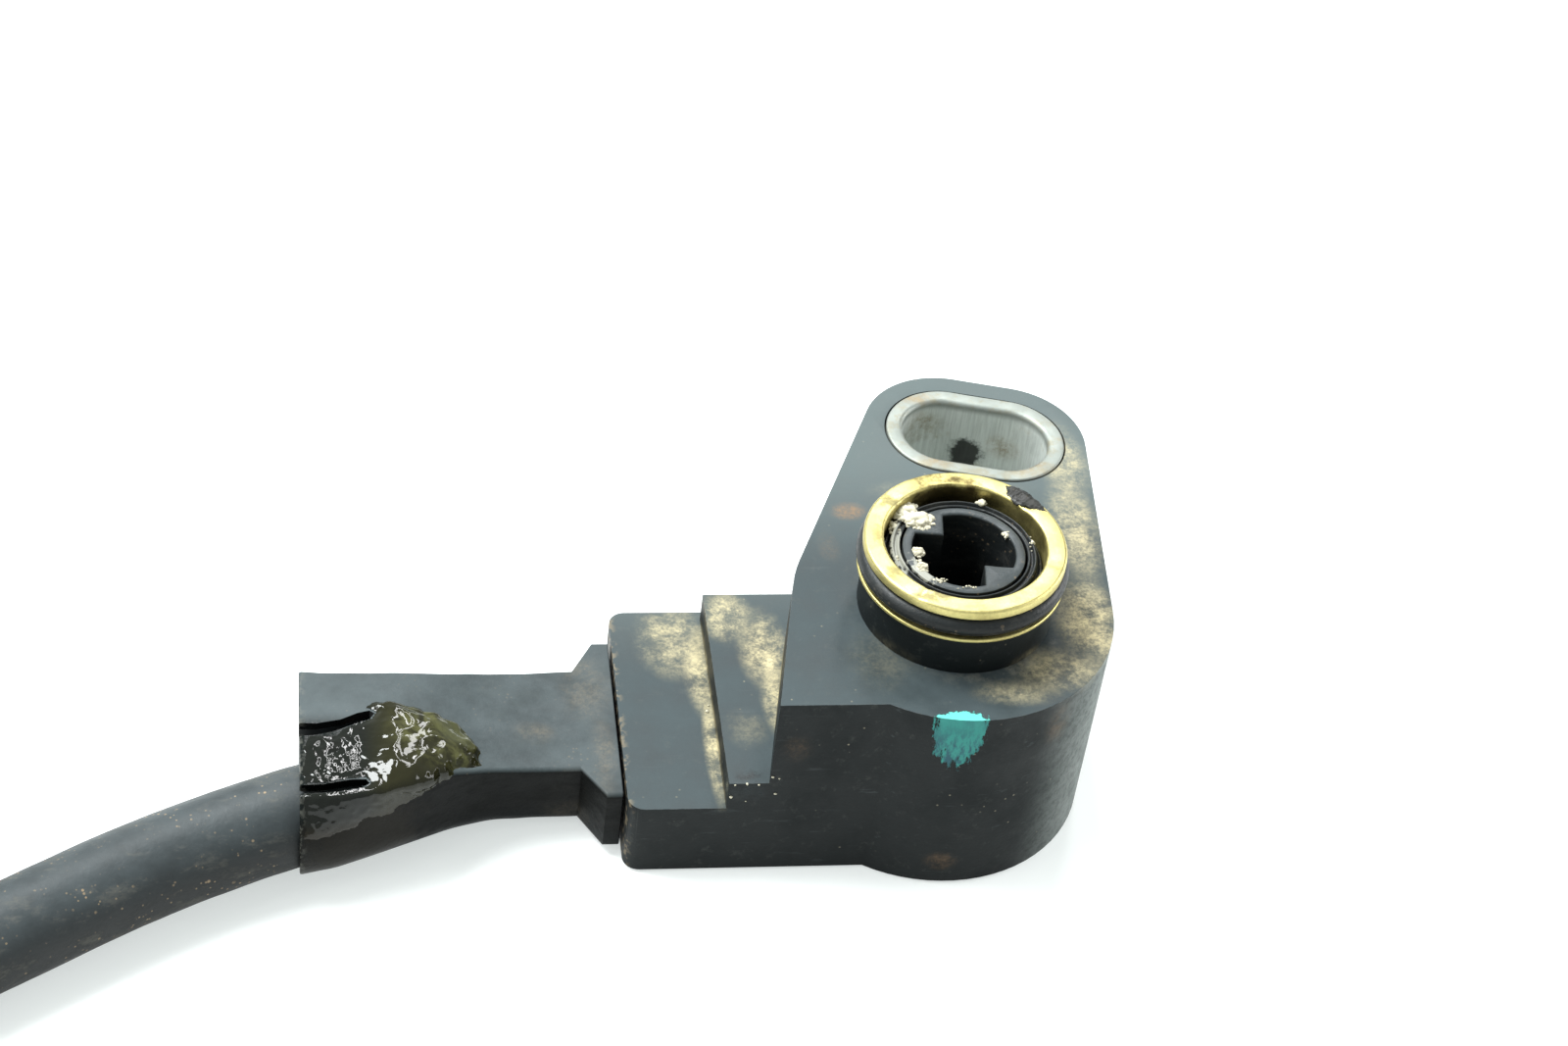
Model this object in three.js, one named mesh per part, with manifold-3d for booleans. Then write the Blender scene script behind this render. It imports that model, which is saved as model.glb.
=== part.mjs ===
// Rotary position sensor with a coiled lead and a three-way plug. Millimetres, +Z up.
// The origin is on the rotor axis, in the flat back face that the sensor rests on.
// +Z runs out of the drive socket, -X towards the cable and +Y towards the mounting ear.
import * as THREE from "three";
import { mergeVertices } from "three/addons/utils/BufferGeometryUtils.js";
import Module from "manifold-3d";

const wasm = await Module();
wasm.setup();

const DEG = Math.PI / 180;
const GAP = 0.1; // clearance between pieces that stay still
const OVER = 0.5; // how far a cutter runs past the face it cuts

// Housing: a round body, a tangent ear and two steps towards the cable.
const BODY_R = 9.6;
const BODY_H = 13.9;
const FRONT_Y = -8.2;
const CORNER_X = -11.35;
const EAR = { dist: 15.5, turn: 14 * DEG, half: 1.85, r: 5.2 };
const STEP_HIGH = { x0: -13.7, back: 7.6, h: 7.4 };
const STEP_LOW = { x0: -19.4, back: 8.2, h: 5.3, corner: 1 };
const CHAMBER = { r: 7.9, top: 12.3 };
const ENTRY = { x0: -18.2, halfY: 5, top: 4.1 };
const COVER_T = 1.2;
const LEDGE = 0.5;

// Spigot: the moulded collar, the brass sleeve in it and the seals.
const COLLAR = { r: 5.8, top: 16.6, bore: 4.8, seat: 5.25, seatZ: 14.4 };
const SLEEVE = { in: 4.8, shank: 5.15, groove: 5.1, rimLow: 6.15, rimTop: 6, top: 19.15 };
const RIM_LOW_T = 0.25;
const RIM_TOP_T = 0.8;
const O_RING = { r: 5.72, wire: 0.56 };

// Rotor: hub, drive socket with two opposite lugs, shoulder and stub.
const HUB_R = 3.65;
const SOCKET = { r: 3.05, floor: 8, lug: 1.15, turn: -7 * DEG };
const ROTOR_TOP = 18.3;
const SHOULDER = { r: 5.1, z0: 10.9, z1: 11.7 };
const STUB = { r: 2.4, z0: 3.8, z1: 5.2 };
const CARRIER = { r: 6.9, z0: 3.9, z1: 5, tabR: 7.6, tab: 20 * DEG };
const TRAVEL = 100 * DEG;

// Cable route. The lead leaves the boot, runs along the surface and enters the coil.
const CABLE_R = 2.9;
const LEAD = [
  [-38, -6.45, 3.4],
  [-41.5, -7.5, 3.15],
  [-44.3, -8.6, 2.95],
  [-47, -9.95, 2.9],
  [-49.7, -11.45, 2.9],
  [-52.3, -13.05, 2.9],
  [-54.9, -14.65, 2.9],
  [-60.5, -18.1, 2.9],
  [-66.2, -21.6, 2.95],
  [-72.1, -25, 3.2],
  [-78.21, -28.31, 3.4],
];
const TAIL = [
  [-124.46, -2.15, 9.25],
  [-125.1, 4, 9.1],
  [-125.9, 10, 8.5],
  [-126.5, 16, 7.4],
  [-126.8, 22, 6.3],
  [-126.9, 27.1, 5.8],
];
const COIL = { x: -93, y: -0.5, r: 31.5, z0: 0.5, z1: 12.15 };
const TIE = { at: 240 * DEG, t: 0.4, wide: 3 };

// Plug: its rear face is at y = 0 of its own group, and it rests on z = 0.
const PLUG = { x: -126.9, y: 37, wide: 15.2, high: 11.6, long: 24, web: 9, wall: 1.4 };
const PIN = { pitch: 3.8, wide: 1.6, thick: 0.7, z: 5.8 };
const PIVOT = { y: 12, z: 13.1, r: 0.7 };

const plastic = { color: 0x2a3033, roughness: 0.55, metalness: 0 };
const rubber = { color: 0x202426, roughness: 0.8, metalness: 0 };
const brass = { color: 0xd8c46a, roughness: 0.35, metalness: 1 };
const steel = { color: 0xb9bfc2, roughness: 0.4, metalness: 1 };
const ceramic = { color: 0xe6e2d6, roughness: 0.6, metalness: 0 };
const carbon = { color: 0x33302c, roughness: 0.7, metalness: 0 };
const resin = { color: 0x6f6423, roughness: 0.15, metalness: 0 };

const sensor = new THREE.Group();

function add(name, geometry, finish, parent = sensor) {
  const mesh = new THREE.Mesh(geometry, new THREE.MeshStandardMaterial(finish));
  mesh.name = name;
  parent.add(mesh);
  return mesh;
}

// A closed geometry as a solid that can be joined and cut.
function solid(geometry) {
  const bare = geometry.index ? geometry.toNonIndexed() : geometry.clone();
  bare.deleteAttribute("normal");
  bare.deleteAttribute("uv");
  const merged = mergeVertices(bare, 1e-4);
  const vertProperties = merged.attributes.position.array;
  const triVerts = new Uint32Array(merged.index.array);
  return new wasm.Manifold(new wasm.Mesh({ numProp: 3, vertProperties, triVerts }));
}

function geometryOf(body) {
  const { vertProperties, triVerts } = body.getMesh();
  const geometry = new THREE.BufferGeometry();
  geometry.setAttribute("position", new THREE.BufferAttribute(vertProperties, 3));
  geometry.setIndex(new THREE.BufferAttribute(triVerts, 1));
  geometry.computeVertexNormals();
  return geometry;
}

function join(...parts) {
  return parts.map(solid).reduce((all, part) => all.add(part));
}

function cut(body, ...cutters) {
  const base = body instanceof THREE.BufferGeometry ? solid(body) : body;
  return geometryOf(cutters.reduce((left, cutter) => left.subtract(solid(cutter)), base));
}

function box([x0, x1], [y0, y1], [z0, z1]) {
  const geometry = new THREE.BoxGeometry(x1 - x0, y1 - y0, z1 - z0);
  return geometry.translate((x0 + x1) / 2, (y0 + y1) / 2, (z0 + z1) / 2);
}

function drum(r, z0, z1, sides = 64) {
  const geometry = new THREE.CylinderGeometry(r, r, z1 - z0, sides);
  return geometry.rotateX(Math.PI / 2).translate(0, 0, (z0 + z1) / 2);
}

function prism(shape, z0, z1, curveSegments = 24) {
  const options = { depth: z1 - z0, bevelEnabled: false, curveSegments };
  return new THREE.ExtrudeGeometry(shape, options).translate(0, 0, z0);
}

// A body turned about +Z from a closed profile of [radius, z], counter-clockwise.
function turned(profile, sides = 64) {
  const points = [...profile, profile[0]].map(([r, z]) => new THREE.Vector2(r, z));
  return new THREE.LatheGeometry(points, sides).rotateX(Math.PI / 2);
}

function ring(r0, r1, z0, z1, sides = 64) {
  return turned([[r0, z0], [r1, z0], [r1, z1], [r0, z1]], sides);
}

function tube(points, r, steps, sides) {
  const section = new THREE.Shape().absarc(0, 0, r, 0, 2 * Math.PI, false);
  const extrudePath = new THREE.CatmullRomCurve3(points.map((p) => new THREE.Vector3(...p)));
  const options = { steps, curveSegments: sides / 2, extrudePath };
  return new THREE.ExtrudeGeometry(section, options);
}

// A closed skin through rings of equal count that go round +X, in order of rising x.
function loft(rings) {
  const count = rings[0].length;
  const index = [];
  for (let i = 0; i + 1 < rings.length; i++) {
    for (let j = 0; j < count; j++) {
      const a = i * count + j;
      const b = i * count + ((j + 1) % count);
      index.push(a, b, b + count, a, b + count, a + count);
    }
  }
  const last = (rings.length - 1) * count;
  for (const [a, b, c] of THREE.ShapeUtils.triangulateShape(flat(rings[0]), [])) {
    index.push(c, b, a, last + a, last + b, last + c);
  }
  const geometry = new THREE.BufferGeometry().setFromPoints(rings.flat());
  geometry.setIndex(index);
  return geometry;
}

function flat(points) {
  return points.map((p) => new THREE.Vector2(p.y, p.z));
}

// The obround around the ear's two centres, grown to radius r.
function obround(r) {
  const shape = new THREE.Shape();
  shape.absarc(EAR.half, 0, r, -Math.PI / 2, Math.PI / 2, false);
  shape.absarc(-EAR.half, 0, r, Math.PI / 2, (3 * Math.PI) / 2, false);
  return shape;
}

function atEar(geometry) {
  const x = EAR.dist * Math.sin(EAR.turn);
  const y = EAR.dist * Math.cos(EAR.turn);
  return geometry.rotateZ(-EAR.turn).translate(x, y, 0);
}

// Plan of the tall body: the round part, the ear on tangents to it, and the square corner.
function bodyPlan() {
  const along = new THREE.Vector2(Math.cos(EAR.turn), -Math.sin(EAR.turn));
  const centre = new THREE.Vector2(Math.sin(EAR.turn), Math.cos(EAR.turn)).multiplyScalar(EAR.dist);
  const right = centre.clone().addScaledVector(along, EAR.half);
  const left = centre.clone().addScaledVector(along, -EAR.half);
  const lean = (c) => Math.acos((BODY_R - EAR.r) / c.length());
  const rightTangent = right.angle() - lean(right);
  const leftTangent = left.angle() + lean(left);
  const corner = new THREE.Vector2(CORNER_X, FRONT_Y);
  const wallTangent = corner.angle() - Math.acos(BODY_R / corner.length());
  const frontTangent = Math.atan2(FRONT_Y, -Math.sqrt(BODY_R ** 2 - FRONT_Y ** 2));
  const top = Math.PI / 2 - EAR.turn;
  const origin = new THREE.Vector2();
  return new THREE.Shape([
    corner,
    ...arc(origin, BODY_R, frontTangent, rightTangent),
    ...arc(right, EAR.r, rightTangent, top),
    ...arc(left, EAR.r, top, leftTangent),
    ...arc(origin, BODY_R, leftTangent, wallTangent),
  ]);
}

// Points on an arc, no further apart than about five degrees.
function arc(centre, r, from, to) {
  const count = Math.ceil((to - from) / (5 * DEG));
  return Array.from({ length: count + 1 }, (_, i) => {
    const a = from + ((to - from) * i) / count;
    return new THREE.Vector2(centre.x + r * Math.cos(a), centre.y + r * Math.sin(a));
  });
}

function lowStepPlan() {
  const { x0, back, corner: r } = STEP_LOW;
  const shape = new THREE.Shape();
  shape.moveTo(0, FRONT_Y);
  shape.lineTo(0, back);
  shape.absarc(x0 + r, back - r, r, Math.PI / 2, Math.PI, false);
  shape.absarc(x0 + r, FRONT_Y + r, r, Math.PI, 1.5 * Math.PI, false);
  return shape;
}

// Plan of the space in the housing, and with a ledge of the cover that closes it.
function insidePlan(grow) {
  const r = CHAMBER.r + grow;
  const y = ENTRY.halfY + grow;
  const start = Math.PI - Math.asin(y / r);
  const shape = new THREE.Shape();
  shape.moveTo(ENTRY.x0 - grow, y);
  shape.lineTo(ENTRY.x0 - grow, -y);
  shape.absarc(0, 0, r, -start, start, false);
  return shape;
}

function sectorPlan(r0, r1, from, to) {
  const shape = new THREE.Shape();
  shape.absarc(0, 0, r1, from, to, false);
  shape.absarc(0, 0, r0, to, from, true);
  return shape;
}

function makeHousing() {
  const outside = join(
    prism(bodyPlan(), 0, BODY_H),
    prism(lowStepPlan(), 0, STEP_LOW.h, 6),
    box([STEP_HIGH.x0, 0], [FRONT_Y, STEP_HIGH.back], [0, STEP_HIGH.h]),
    drum(COLLAR.r, BODY_H - OVER, COLLAR.top),
  );
  const hollow = cut(
    outside,
    drum(CHAMBER.r, -OVER, CHAMBER.top),
    box([ENTRY.x0, 0], [-ENTRY.halfY, ENTRY.halfY], [-OVER, ENTRY.top]),
    prism(insidePlan(LEDGE), -OVER, COVER_T + GAP),
    box([STEP_LOW.x0 - OVER, ENTRY.x0 + OVER], [-3.7, 3.1], [1.2, 3.95]),
    drum(COLLAR.bore, CHAMBER.top - OVER, COLLAR.top + OVER),
    drum(COLLAR.seat, COLLAR.seatZ, COLLAR.top + OVER),
    atEar(prism(obround(3.9), -OVER, BODY_H + OVER, 16)),
  );
  const free = TRAVEL + CARRIER.tab + 2 * DEG;
  const stop = 12 * DEG;
  const first = -90 * DEG - free / 2;
  const stops = [first - stop, first + free].map((from) =>
    prism(sectorPlan(7.15, CHAMBER.r + OVER, from, from + stop), 3.6, CHAMBER.top + OVER, 4),
  );
  return geometryOf(stops.reduce((all, part) => all.add(solid(part)), solid(hollow)));
}

function makeSleeve() {
  const { in: r0, shank, groove, rimLow, rimTop, top } = SLEEVE;
  const low = COLLAR.top + GAP;
  return turned([
    [r0, COLLAR.seatZ + GAP],
    [shank, COLLAR.seatZ + GAP],
    [shank, low],
    [rimLow, low],
    [rimLow, low + RIM_LOW_T],
    [groove, low + RIM_LOW_T],
    [groove, top - RIM_TOP_T],
    [rimTop, top - RIM_TOP_T],
    [rimTop, top],
    [r0, top],
  ]);
}

function torus(r, wire, z, sides, round) {
  const circle = Array.from({ length: round }, (_, i) => {
    const a = (2 * Math.PI * i) / round;
    return [r + wire * Math.cos(a), z + wire * Math.sin(a)];
  });
  return turned(circle, sides);
}

// The socket's lug: the part of the bore beyond two lines that meet near the axis.
function lug(turn) {
  const shape = new THREE.Shape();
  shape.moveTo(SOCKET.lug, -SOCKET.lug);
  shape.lineTo(SOCKET.lug, -SOCKET.r - 0.2);
  shape.lineTo(SOCKET.r + 0.2, -SOCKET.r - 0.2);
  shape.lineTo(SOCKET.r + 0.2, -SOCKET.lug);
  const block = solid(prism(shape, SOCKET.floor - OVER, ROTOR_TOP, 1).rotateZ(turn));
  return block.intersect(solid(drum(HUB_R - 0.2, SOCKET.floor - OVER, ROTOR_TOP, 48)));
}

function makeRotor() {
  const hub = join(
    drum(HUB_R, STUB.z1, ROTOR_TOP, 48),
    drum(SHOULDER.r, SHOULDER.z0, SHOULDER.z1, 48),
    drum(HUB_R + 0.6, STUB.z1, STUB.z1 + 1, 48),
    drum(STUB.r, STUB.z0, STUB.z1 + OVER, 32),
  );
  const open = solid(cut(hub, drum(SOCKET.r, SOCKET.floor, ROTOR_TOP + OVER, 48)));
  return geometryOf(open.add(lug(SOCKET.turn)).add(lug(SOCKET.turn + Math.PI)));
}

function makeCarrier() {
  const tab = sectorPlan(5, CARRIER.tabR, -CARRIER.tab / 2, CARRIER.tab / 2);
  const rest = -90 * DEG - TRAVEL / 2;
  const body = join(
    drum(CARRIER.r, CARRIER.z0, CARRIER.z1, 48),
    prism(tab, CARRIER.z0, CARRIER.z1, 4).rotateZ(rest),
  );
  return cut(body, drum(STUB.r + GAP, 0, CARRIER.z1 + OVER, 32));
}

// A spring finger under the carrier that bends down to its track at radius r.
function finger(r, angle) {
  const shape = new THREE.Shape();
  shape.moveTo(-1.6, 3.8);
  shape.lineTo(-1.6, 3.62);
  shape.lineTo(-0.4, 3.62);
  shape.lineTo(1.1, 2.95);
  shape.lineTo(1.7, 3.1);
  shape.lineTo(1.62, 3.26);
  shape.lineTo(1.14, 3.14);
  shape.lineTo(-0.34, 3.8);
  const blade = new THREE.ExtrudeGeometry(shape, { depth: 0.7, bevelEnabled: false });
  return blade.rotateX(Math.PI / 2).translate(0, r + 0.35, 0).rotateZ(angle);
}

// The spring's coils about the hub, with a short tangent leg at each end.
function makeSpring() {
  const turns = 4;
  const r = 5.1;
  const perTurn = 20;
  const wire = 0.3;
  const points = Array.from({ length: turns * perTurn + 1 }, (_, i) => {
    const a = (2 * Math.PI * i) / perTurn;
    return [r * Math.cos(a), r * Math.sin(a), 6.9 + (3.4 * i) / (turns * perTurn)];
  });
  const [first, last] = [points[0], points[points.length - 1]];
  const legs = [[first[0], first[1] - 2.2, first[2]], [last[0], last[1] + 2.2, last[2]]];
  return tube([legs[0], ...points, legs[1]], wire, 84, 6);
}

function makePlate() {
  const shape = new THREE.Shape();
  const half = 4.4;
  const start = Math.PI - Math.asin(half / 7.3);
  shape.moveTo(-9.8, half);
  shape.lineTo(-9.8, -half);
  shape.absarc(0, 0, 7.3, -start, start, false);
  return prism(shape, 1.9, 2.6, 20);
}

// One ring of the boot at x: square at the housing, round underneath at the cable.
function bootRing({ x, back, front, top, low, round, bulge = 0 }, inset) {
  const r = Math.max(round - inset, 0.1);
  const centre = new THREE.Vector2(front + round - bulge, low + round);
  const corner = new THREE.Vector2(front + inset, top - inset);
  const away = corner.clone().sub(centre);
  const tangent = away.angle() + Math.acos(Math.min(1, r / away.length()));
  const last = 1.5 * Math.PI;
  const points = [[back - inset, top - inset], [corner.x, corner.y]];
  for (let i = 0; i <= 8; i++) {
    const a = tangent + ((last - tangent) * i) / 8;
    points.push([centre.x + r * Math.cos(a), centre.y + r * Math.sin(a)]);
  }
  points.push([back - inset, low + inset]);
  return points.map(([y, z]) => new THREE.Vector3(x, y, z));
}

const BOOT = [
  { x: -38.4, back: 1.9, front: -8.3, top: 7, low: 0, round: 3.4, bulge: 1.6 },
  { x: -36.5, back: 1.8, front: -8.35, top: 7, low: 0, round: 3.35, bulge: 1.1 },
  { x: -34.5, back: 1.85, front: -8, top: 6.9, low: 0, round: 3.2, bulge: 0.6 },
  { x: -32.2, back: 2.1, front: -7.05, top: 6.6, low: 0, round: 2.8, bulge: 0.35 },
  { x: -30, back: 2.5, front: -5.95, top: 6.1, low: 0.1, round: 2.1, bulge: 0.2 },
  { x: -27.9, back: 3.05, front: -5.18, top: 5.5, low: 0.2, round: 1.4 },
  { x: -25, back: 3.5, front: -4.7, top: 5, low: 0.3, round: 0.9 },
  { x: -21.9, back: 3.85, front: -4.45, top: 4.75, low: 0.3, round: 0.6 },
  { x: -20.55, back: 6.05, front: -6.7, top: 4.9, low: 0.3, round: 0.5 },
  { x: -19.55, back: 6.05, front: -6.7, top: 4.9, low: 0.3, round: 0.5 },
];
const BOOT_WALL = 0.45;
const BOOT_PASSAGE = { back: 3.1, front: -3.7, top: 4.4, low: 0.75, round: 0.3 };

function makeBoot() {
  const outside = loft(BOOT.map((s) => bootRing(s, 0)));
  const inside = [
    bootRing({ ...BOOT[0], x: BOOT[0].x - OVER }, BOOT_WALL),
    ...BOOT.slice(0, -2).map((s) => bootRing(s, BOOT_WALL)),
    bootRing({ x: BOOT.at(-2).x, ...BOOT_PASSAGE }, 0),
    bootRing({ x: BOOT.at(-1).x + OVER, ...BOOT_PASSAGE }, 0),
  ];
  const slits = [
    box([-39, -34.2], [-3.6, -2.5], [5, 8]),
    box([-39, -34.7], [-8.1, -7.5], [6, 8]),
  ];
  return cut(outside, loft(inside), ...slits);
}

// The sealing compound: a low crowned pad on the boot between and behind the slits.
function makeSealant() {
  const profile = [
    [-34.3, -1, 6.98, 0.35],
    [-33, -0.8, 6.8, 0.55],
    [-31.2, -1.2, 6.45, 0.6],
    [-29.4, -1.9, 6.05, 0.5],
    [-28.2, -3, 5.75, 0.3],
  ];
  const front = [-6.6, -6.4, -5.9, -5.2, -4.4];
  const rings = profile.map(([x, back, z, t], i) => {
    const y = front[i];
    const mid = (back + y) / 2;
    const section = [[back, z], [back, z + t / 2], [mid, z + t], [y, z + t / 2], [y, z], [mid, z]];
    return section.map(([sy, sz]) => new THREE.Vector3(x, sy, sz));
  });
  return loft(rings);
}

function makePotting() {
  const body = box([-18, -11], [-4.8, 4.8], [1.45, 3.9]);
  const ways = [-1, 0, 1].flatMap((i) => [
    box([-17, -10.5], [2.6 * i - 0.6, 2.6 * i + 0.6], [2.6, 3.3]),
    drum(0.85, -OVER, 1.6, 16).rotateY(Math.PI / 2).translate(-18.2, 2.2 * i, 2.6),
  ]);
  return cut(body, ...ways);
}

function makeCore(i) {
  const points = [
    [-16.9, 2.2 * i, 2.6],
    [-22, 1.9 * i - 0.2, 2.6],
    [-28, 1.7 * i - 1.6, 2.8],
    [-31, 1.6 * i - 2.9, 3.2],
    [-33.6, 1.55 * i - 4.2, 3.4],
  ];
  return tube(points, 0.7, 12, 10);
}

function makeTie() {
  const inner = { r0: COIL.r - CABLE_R - 0.2, r1: COIL.r + CABLE_R + 0.2 };
  const outer = box([inner.r0 - TIE.t, inner.r1 + TIE.t], [-TIE.wide / 2, TIE.wide / 2], [0, 12.7]);
  const hole = box([inner.r0, inner.r1], [-TIE.wide, TIE.wide], [TIE.t, 12.7 - TIE.t]);
  const head = box([inner.r1 + TIE.t - 0.1, inner.r1 + 2], [-2.4, 2.4], [5, 8.6]);
  const band = solid(cut(outer, hole)).add(solid(head));
  return geometryOf(band).rotateZ(TIE.at).translate(COIL.x, COIL.y, 0);
}

// Free cable cut back to meet the boot and the coil face to face.
function makeRun(points, steps) {
  const coilRoom = ring(COIL.r - 5, COIL.r + CABLE_R + 0.3, -1, COIL.z1 + 1, 96);
  const bootRoom = box([-38.7, -30], [-12, 2], [-1, 8]);
  return cut(tube(points, CABLE_R, steps, 10), coilRoom.translate(COIL.x, COIL.y, 0), bootRoom);
}

function addPlug() {
  const { wide, high, long, web, wall } = PLUG;
  const half = wide / 2;
  const plug = new THREE.Group();
  plug.position.set(PLUG.x, PLUG.y, 0);
  sensor.add(plug);

  const shell = new THREE.Shape();
  const r = 1.6;
  shape4(shell, -half, half, 0, high, r);
  const block = prism(shell, 0, long, 5).rotateX(Math.PI / 2).translate(0, long, 0);
  const ears = [-1, 1].map((s) => {
    const x = [s * 3.9 - 0.6, s * 3.9 + 0.6];
    return box(x, [PIVOT.y - 1.6, PIVOT.y + 1.6], [high - OVER, PIVOT.z + 1.5]);
  });
  const ways = [-1, 0, 1].map((i) =>
    box([PIN.pitch * i - 1, PIN.pitch * i + 1], [-OVER, web + OVER], [PIN.z - 0.6, PIN.z + 0.6]),
  );
  const pinHole = drum(PIVOT.r + GAP, -6, 6, 24).rotateY(Math.PI / 2);
  const housing = cut(
    join(block, ...ears),
    box([wall - half, half - wall], [web, long + OVER], [wall, high - wall]),
    pinHole.translate(0, PIVOT.y, PIVOT.z),
    ...ways,
  );
  add("plug_housing", housing, plastic, plug);

  const relief = [[0, -9.3], [3.4, -9.3], [3.6, -8], [4.9, -1.2], [4.9, -0.2], [0, -0.2]];
  const points = relief.map(([x, y]) => new THREE.Vector2(x, y));
  add("plug_boot", new THREE.LatheGeometry(points, 32).translate(0, 0, PIN.z), rubber, plug);

  const inner = half - wall - 0.3;
  const z = [wall + 0.3, high - wall - 0.3];
  const windows = [-1, 0, 1].map((i) =>
    box([PIN.pitch * i - 1.1, PIN.pitch * i + 1.1], [web, web + 3], [PIN.z - 0.7, PIN.z + 0.7]),
  );
  const bar = box([-inner, inner], [web + 0.3, web + 1.5], z);
  add("plug_retainer", cut(bar, ...windows), { color: 0xb8472b, roughness: 0.5 }, plug);

  const lip = box([-inner, inner], [web + 1.8, web + 3.8], z);
  const lipHole = box([1 - inner, inner - 1], [web + 1, web + 5], [z[0] + 1, z[1] - 1]);
  add("plug_seal", cut(lip, lipHole), { color: 0x8a4a35, roughness: 0.7 }, plug);

  [-1, 0, 1].forEach((i) => {
    const x = [PIN.pitch * i - PIN.wide / 2, PIN.pitch * i + PIN.wide / 2];
    const pin = box(x, [0.6, 18.5], [PIN.z - PIN.thick / 2, PIN.z + PIN.thick / 2]);
    add(`plug_terminal_${i + 2}`, pin, steel, plug);
  });

  const lever = join(
    box([-2.8, 2.8], [3.5, 22], [PIVOT.z - 0.5, PIVOT.z + 0.7]),
    box([-2.8, 2.8], [20.6, 22], [high + 0.5, PIVOT.z]),
    drum(PIVOT.r, -4.4, 4.4, 24).rotateY(Math.PI / 2).translate(0, PIVOT.y, PIVOT.z),
  );
  add("plug_latch", geometryOf(lever), plastic, plug);
}

// A rectangle with rounded corners.
function shape4(shape, x0, x1, y0, y1, r) {
  shape.absarc(x1 - r, y0 + r, r, -Math.PI / 2, 0, false);
  shape.absarc(x1 - r, y1 - r, r, 0, Math.PI / 2, false);
  shape.absarc(x0 + r, y1 - r, r, Math.PI / 2, Math.PI, false);
  shape.absarc(x0 + r, y0 + r, r, Math.PI, 1.5 * Math.PI, false);
}

add("housing", makeHousing(), plastic);
add("back_cover", prism(insidePlan(LEDGE - GAP), 0, COVER_T, 24), plastic);
add("mount_bush", cut(
  atEar(prism(obround(3.8), 0, BODY_H + 0.1, 16)),
  atEar(prism(obround(2.75), -OVER, BODY_H + OVER, 16)),
), steel);
add("spigot_sleeve", makeSleeve(), brass);
const grooveMid = (COLLAR.top + GAP + RIM_LOW_T + SLEEVE.top - RIM_TOP_T) / 2;
add("spigot_o_ring", torus(O_RING.r, O_RING.wire, grooveMid, 48, 10), rubber);
add("shaft_seal", turned([
  [HUB_R + GAP, 16.45],
  [4.7, 16.45],
  [4.7, 17.5],
  [4.35, 17.6],
  [4.35, ROTOR_TOP],
  [HUB_R + GAP, ROTOR_TOP],
], 48), rubber);
add("bearing_bush", ring(HUB_R + GAP, COLLAR.bore - GAP, 12.5, 16.3, 48), brass);
add("thrust_washer", ring(HUB_R + 0.25, 5.6, 11.85, 12.15, 48), steel);
add("rotor", makeRotor(), plastic);
add("wiper_carrier", makeCarrier(), ceramic);
add("wiper_outer", finger(6.1, 150 * DEG), brass);
add("wiper_inner", finger(4.5, 150 * DEG), brass);
add("return_spring", makeSpring(), steel);
add("element_plate", makePlate(), ceramic);
const trackEnds = [-120 * DEG, 120 * DEG];
add("resistive_track", prism(sectorPlan(5.6, 6.6, ...trackEnds), 2.65, 2.8, 20), carbon);
add("collector_track", prism(sectorPlan(4, 5, ...trackEnds), 2.65, 2.8, 20), steel);
add("entry_potting", makePotting(), resin);
[-1, 0, 1].forEach((i) => {
  const y = 2.6 * i;
  add(`terminal_${i + 2}`, box([-16.6, -8.4], [y - 0.45, y + 0.45], [2.75, 3.15]), brass);
  add(`core_${i + 2}`, makeCore(i), rubber);
});
add("cable_boot", makeBoot(), rubber);
add("boot_sealant", makeSealant(), resin);
const jacketEnd = tube([[-37.6, -6.3, 3.4], [-36.6, -5.9, 3.45], [-35.6, -5.6, 3.4]], 2.5, 2, 10);
add("jacket_end", jacketEnd, rubber);
add("cable_lead", makeRun(LEAD, 16), rubber);
const coil = ring(COIL.r - CABLE_R, COIL.r + CABLE_R, COIL.z0, COIL.z1, 72);
add("cable_coil", coil.translate(COIL.x, COIL.y, 0), rubber);
add("coil_tie", makeTie(), plastic);
add("cable_tail", makeRun(TAIL, 6), rubber);
addPlug();

export default sensor;
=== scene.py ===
import math

import bmesh
import bpy
import numpy as np
from mathutils import Matrix, Vector, noise


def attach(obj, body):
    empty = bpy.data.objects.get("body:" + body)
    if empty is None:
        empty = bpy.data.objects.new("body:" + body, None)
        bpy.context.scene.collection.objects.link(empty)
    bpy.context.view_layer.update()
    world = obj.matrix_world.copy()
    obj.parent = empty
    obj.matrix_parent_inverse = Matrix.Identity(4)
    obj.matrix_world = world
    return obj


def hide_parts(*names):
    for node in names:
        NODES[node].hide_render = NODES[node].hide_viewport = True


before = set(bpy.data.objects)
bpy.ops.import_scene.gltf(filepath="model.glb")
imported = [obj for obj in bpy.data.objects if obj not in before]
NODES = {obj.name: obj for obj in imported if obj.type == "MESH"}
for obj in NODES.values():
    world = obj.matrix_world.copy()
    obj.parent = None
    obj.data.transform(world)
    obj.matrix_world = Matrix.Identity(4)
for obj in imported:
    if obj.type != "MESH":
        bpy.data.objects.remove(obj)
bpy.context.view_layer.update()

MM = 0.001
SCENE = bpy.context.scene


def placed(name, data):
    """A new object in the scene."""
    obj = bpy.data.objects.new(name, data)
    SCENE.collection.objects.link(obj)
    return obj


# ------ camera

# Fitted to the photo's outlines: focal length and sensor width in mm, turns about Z, X and Z, and the place in mm.
LENS, SENSOR = 73.37, 36
CAMERA_TURNS = ((-0.2121, "Z"), (0.8333, "X"), (0.1399, "Z"))
CAMERA_PLACE = (-39.452, -132.691, 143.780)


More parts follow.
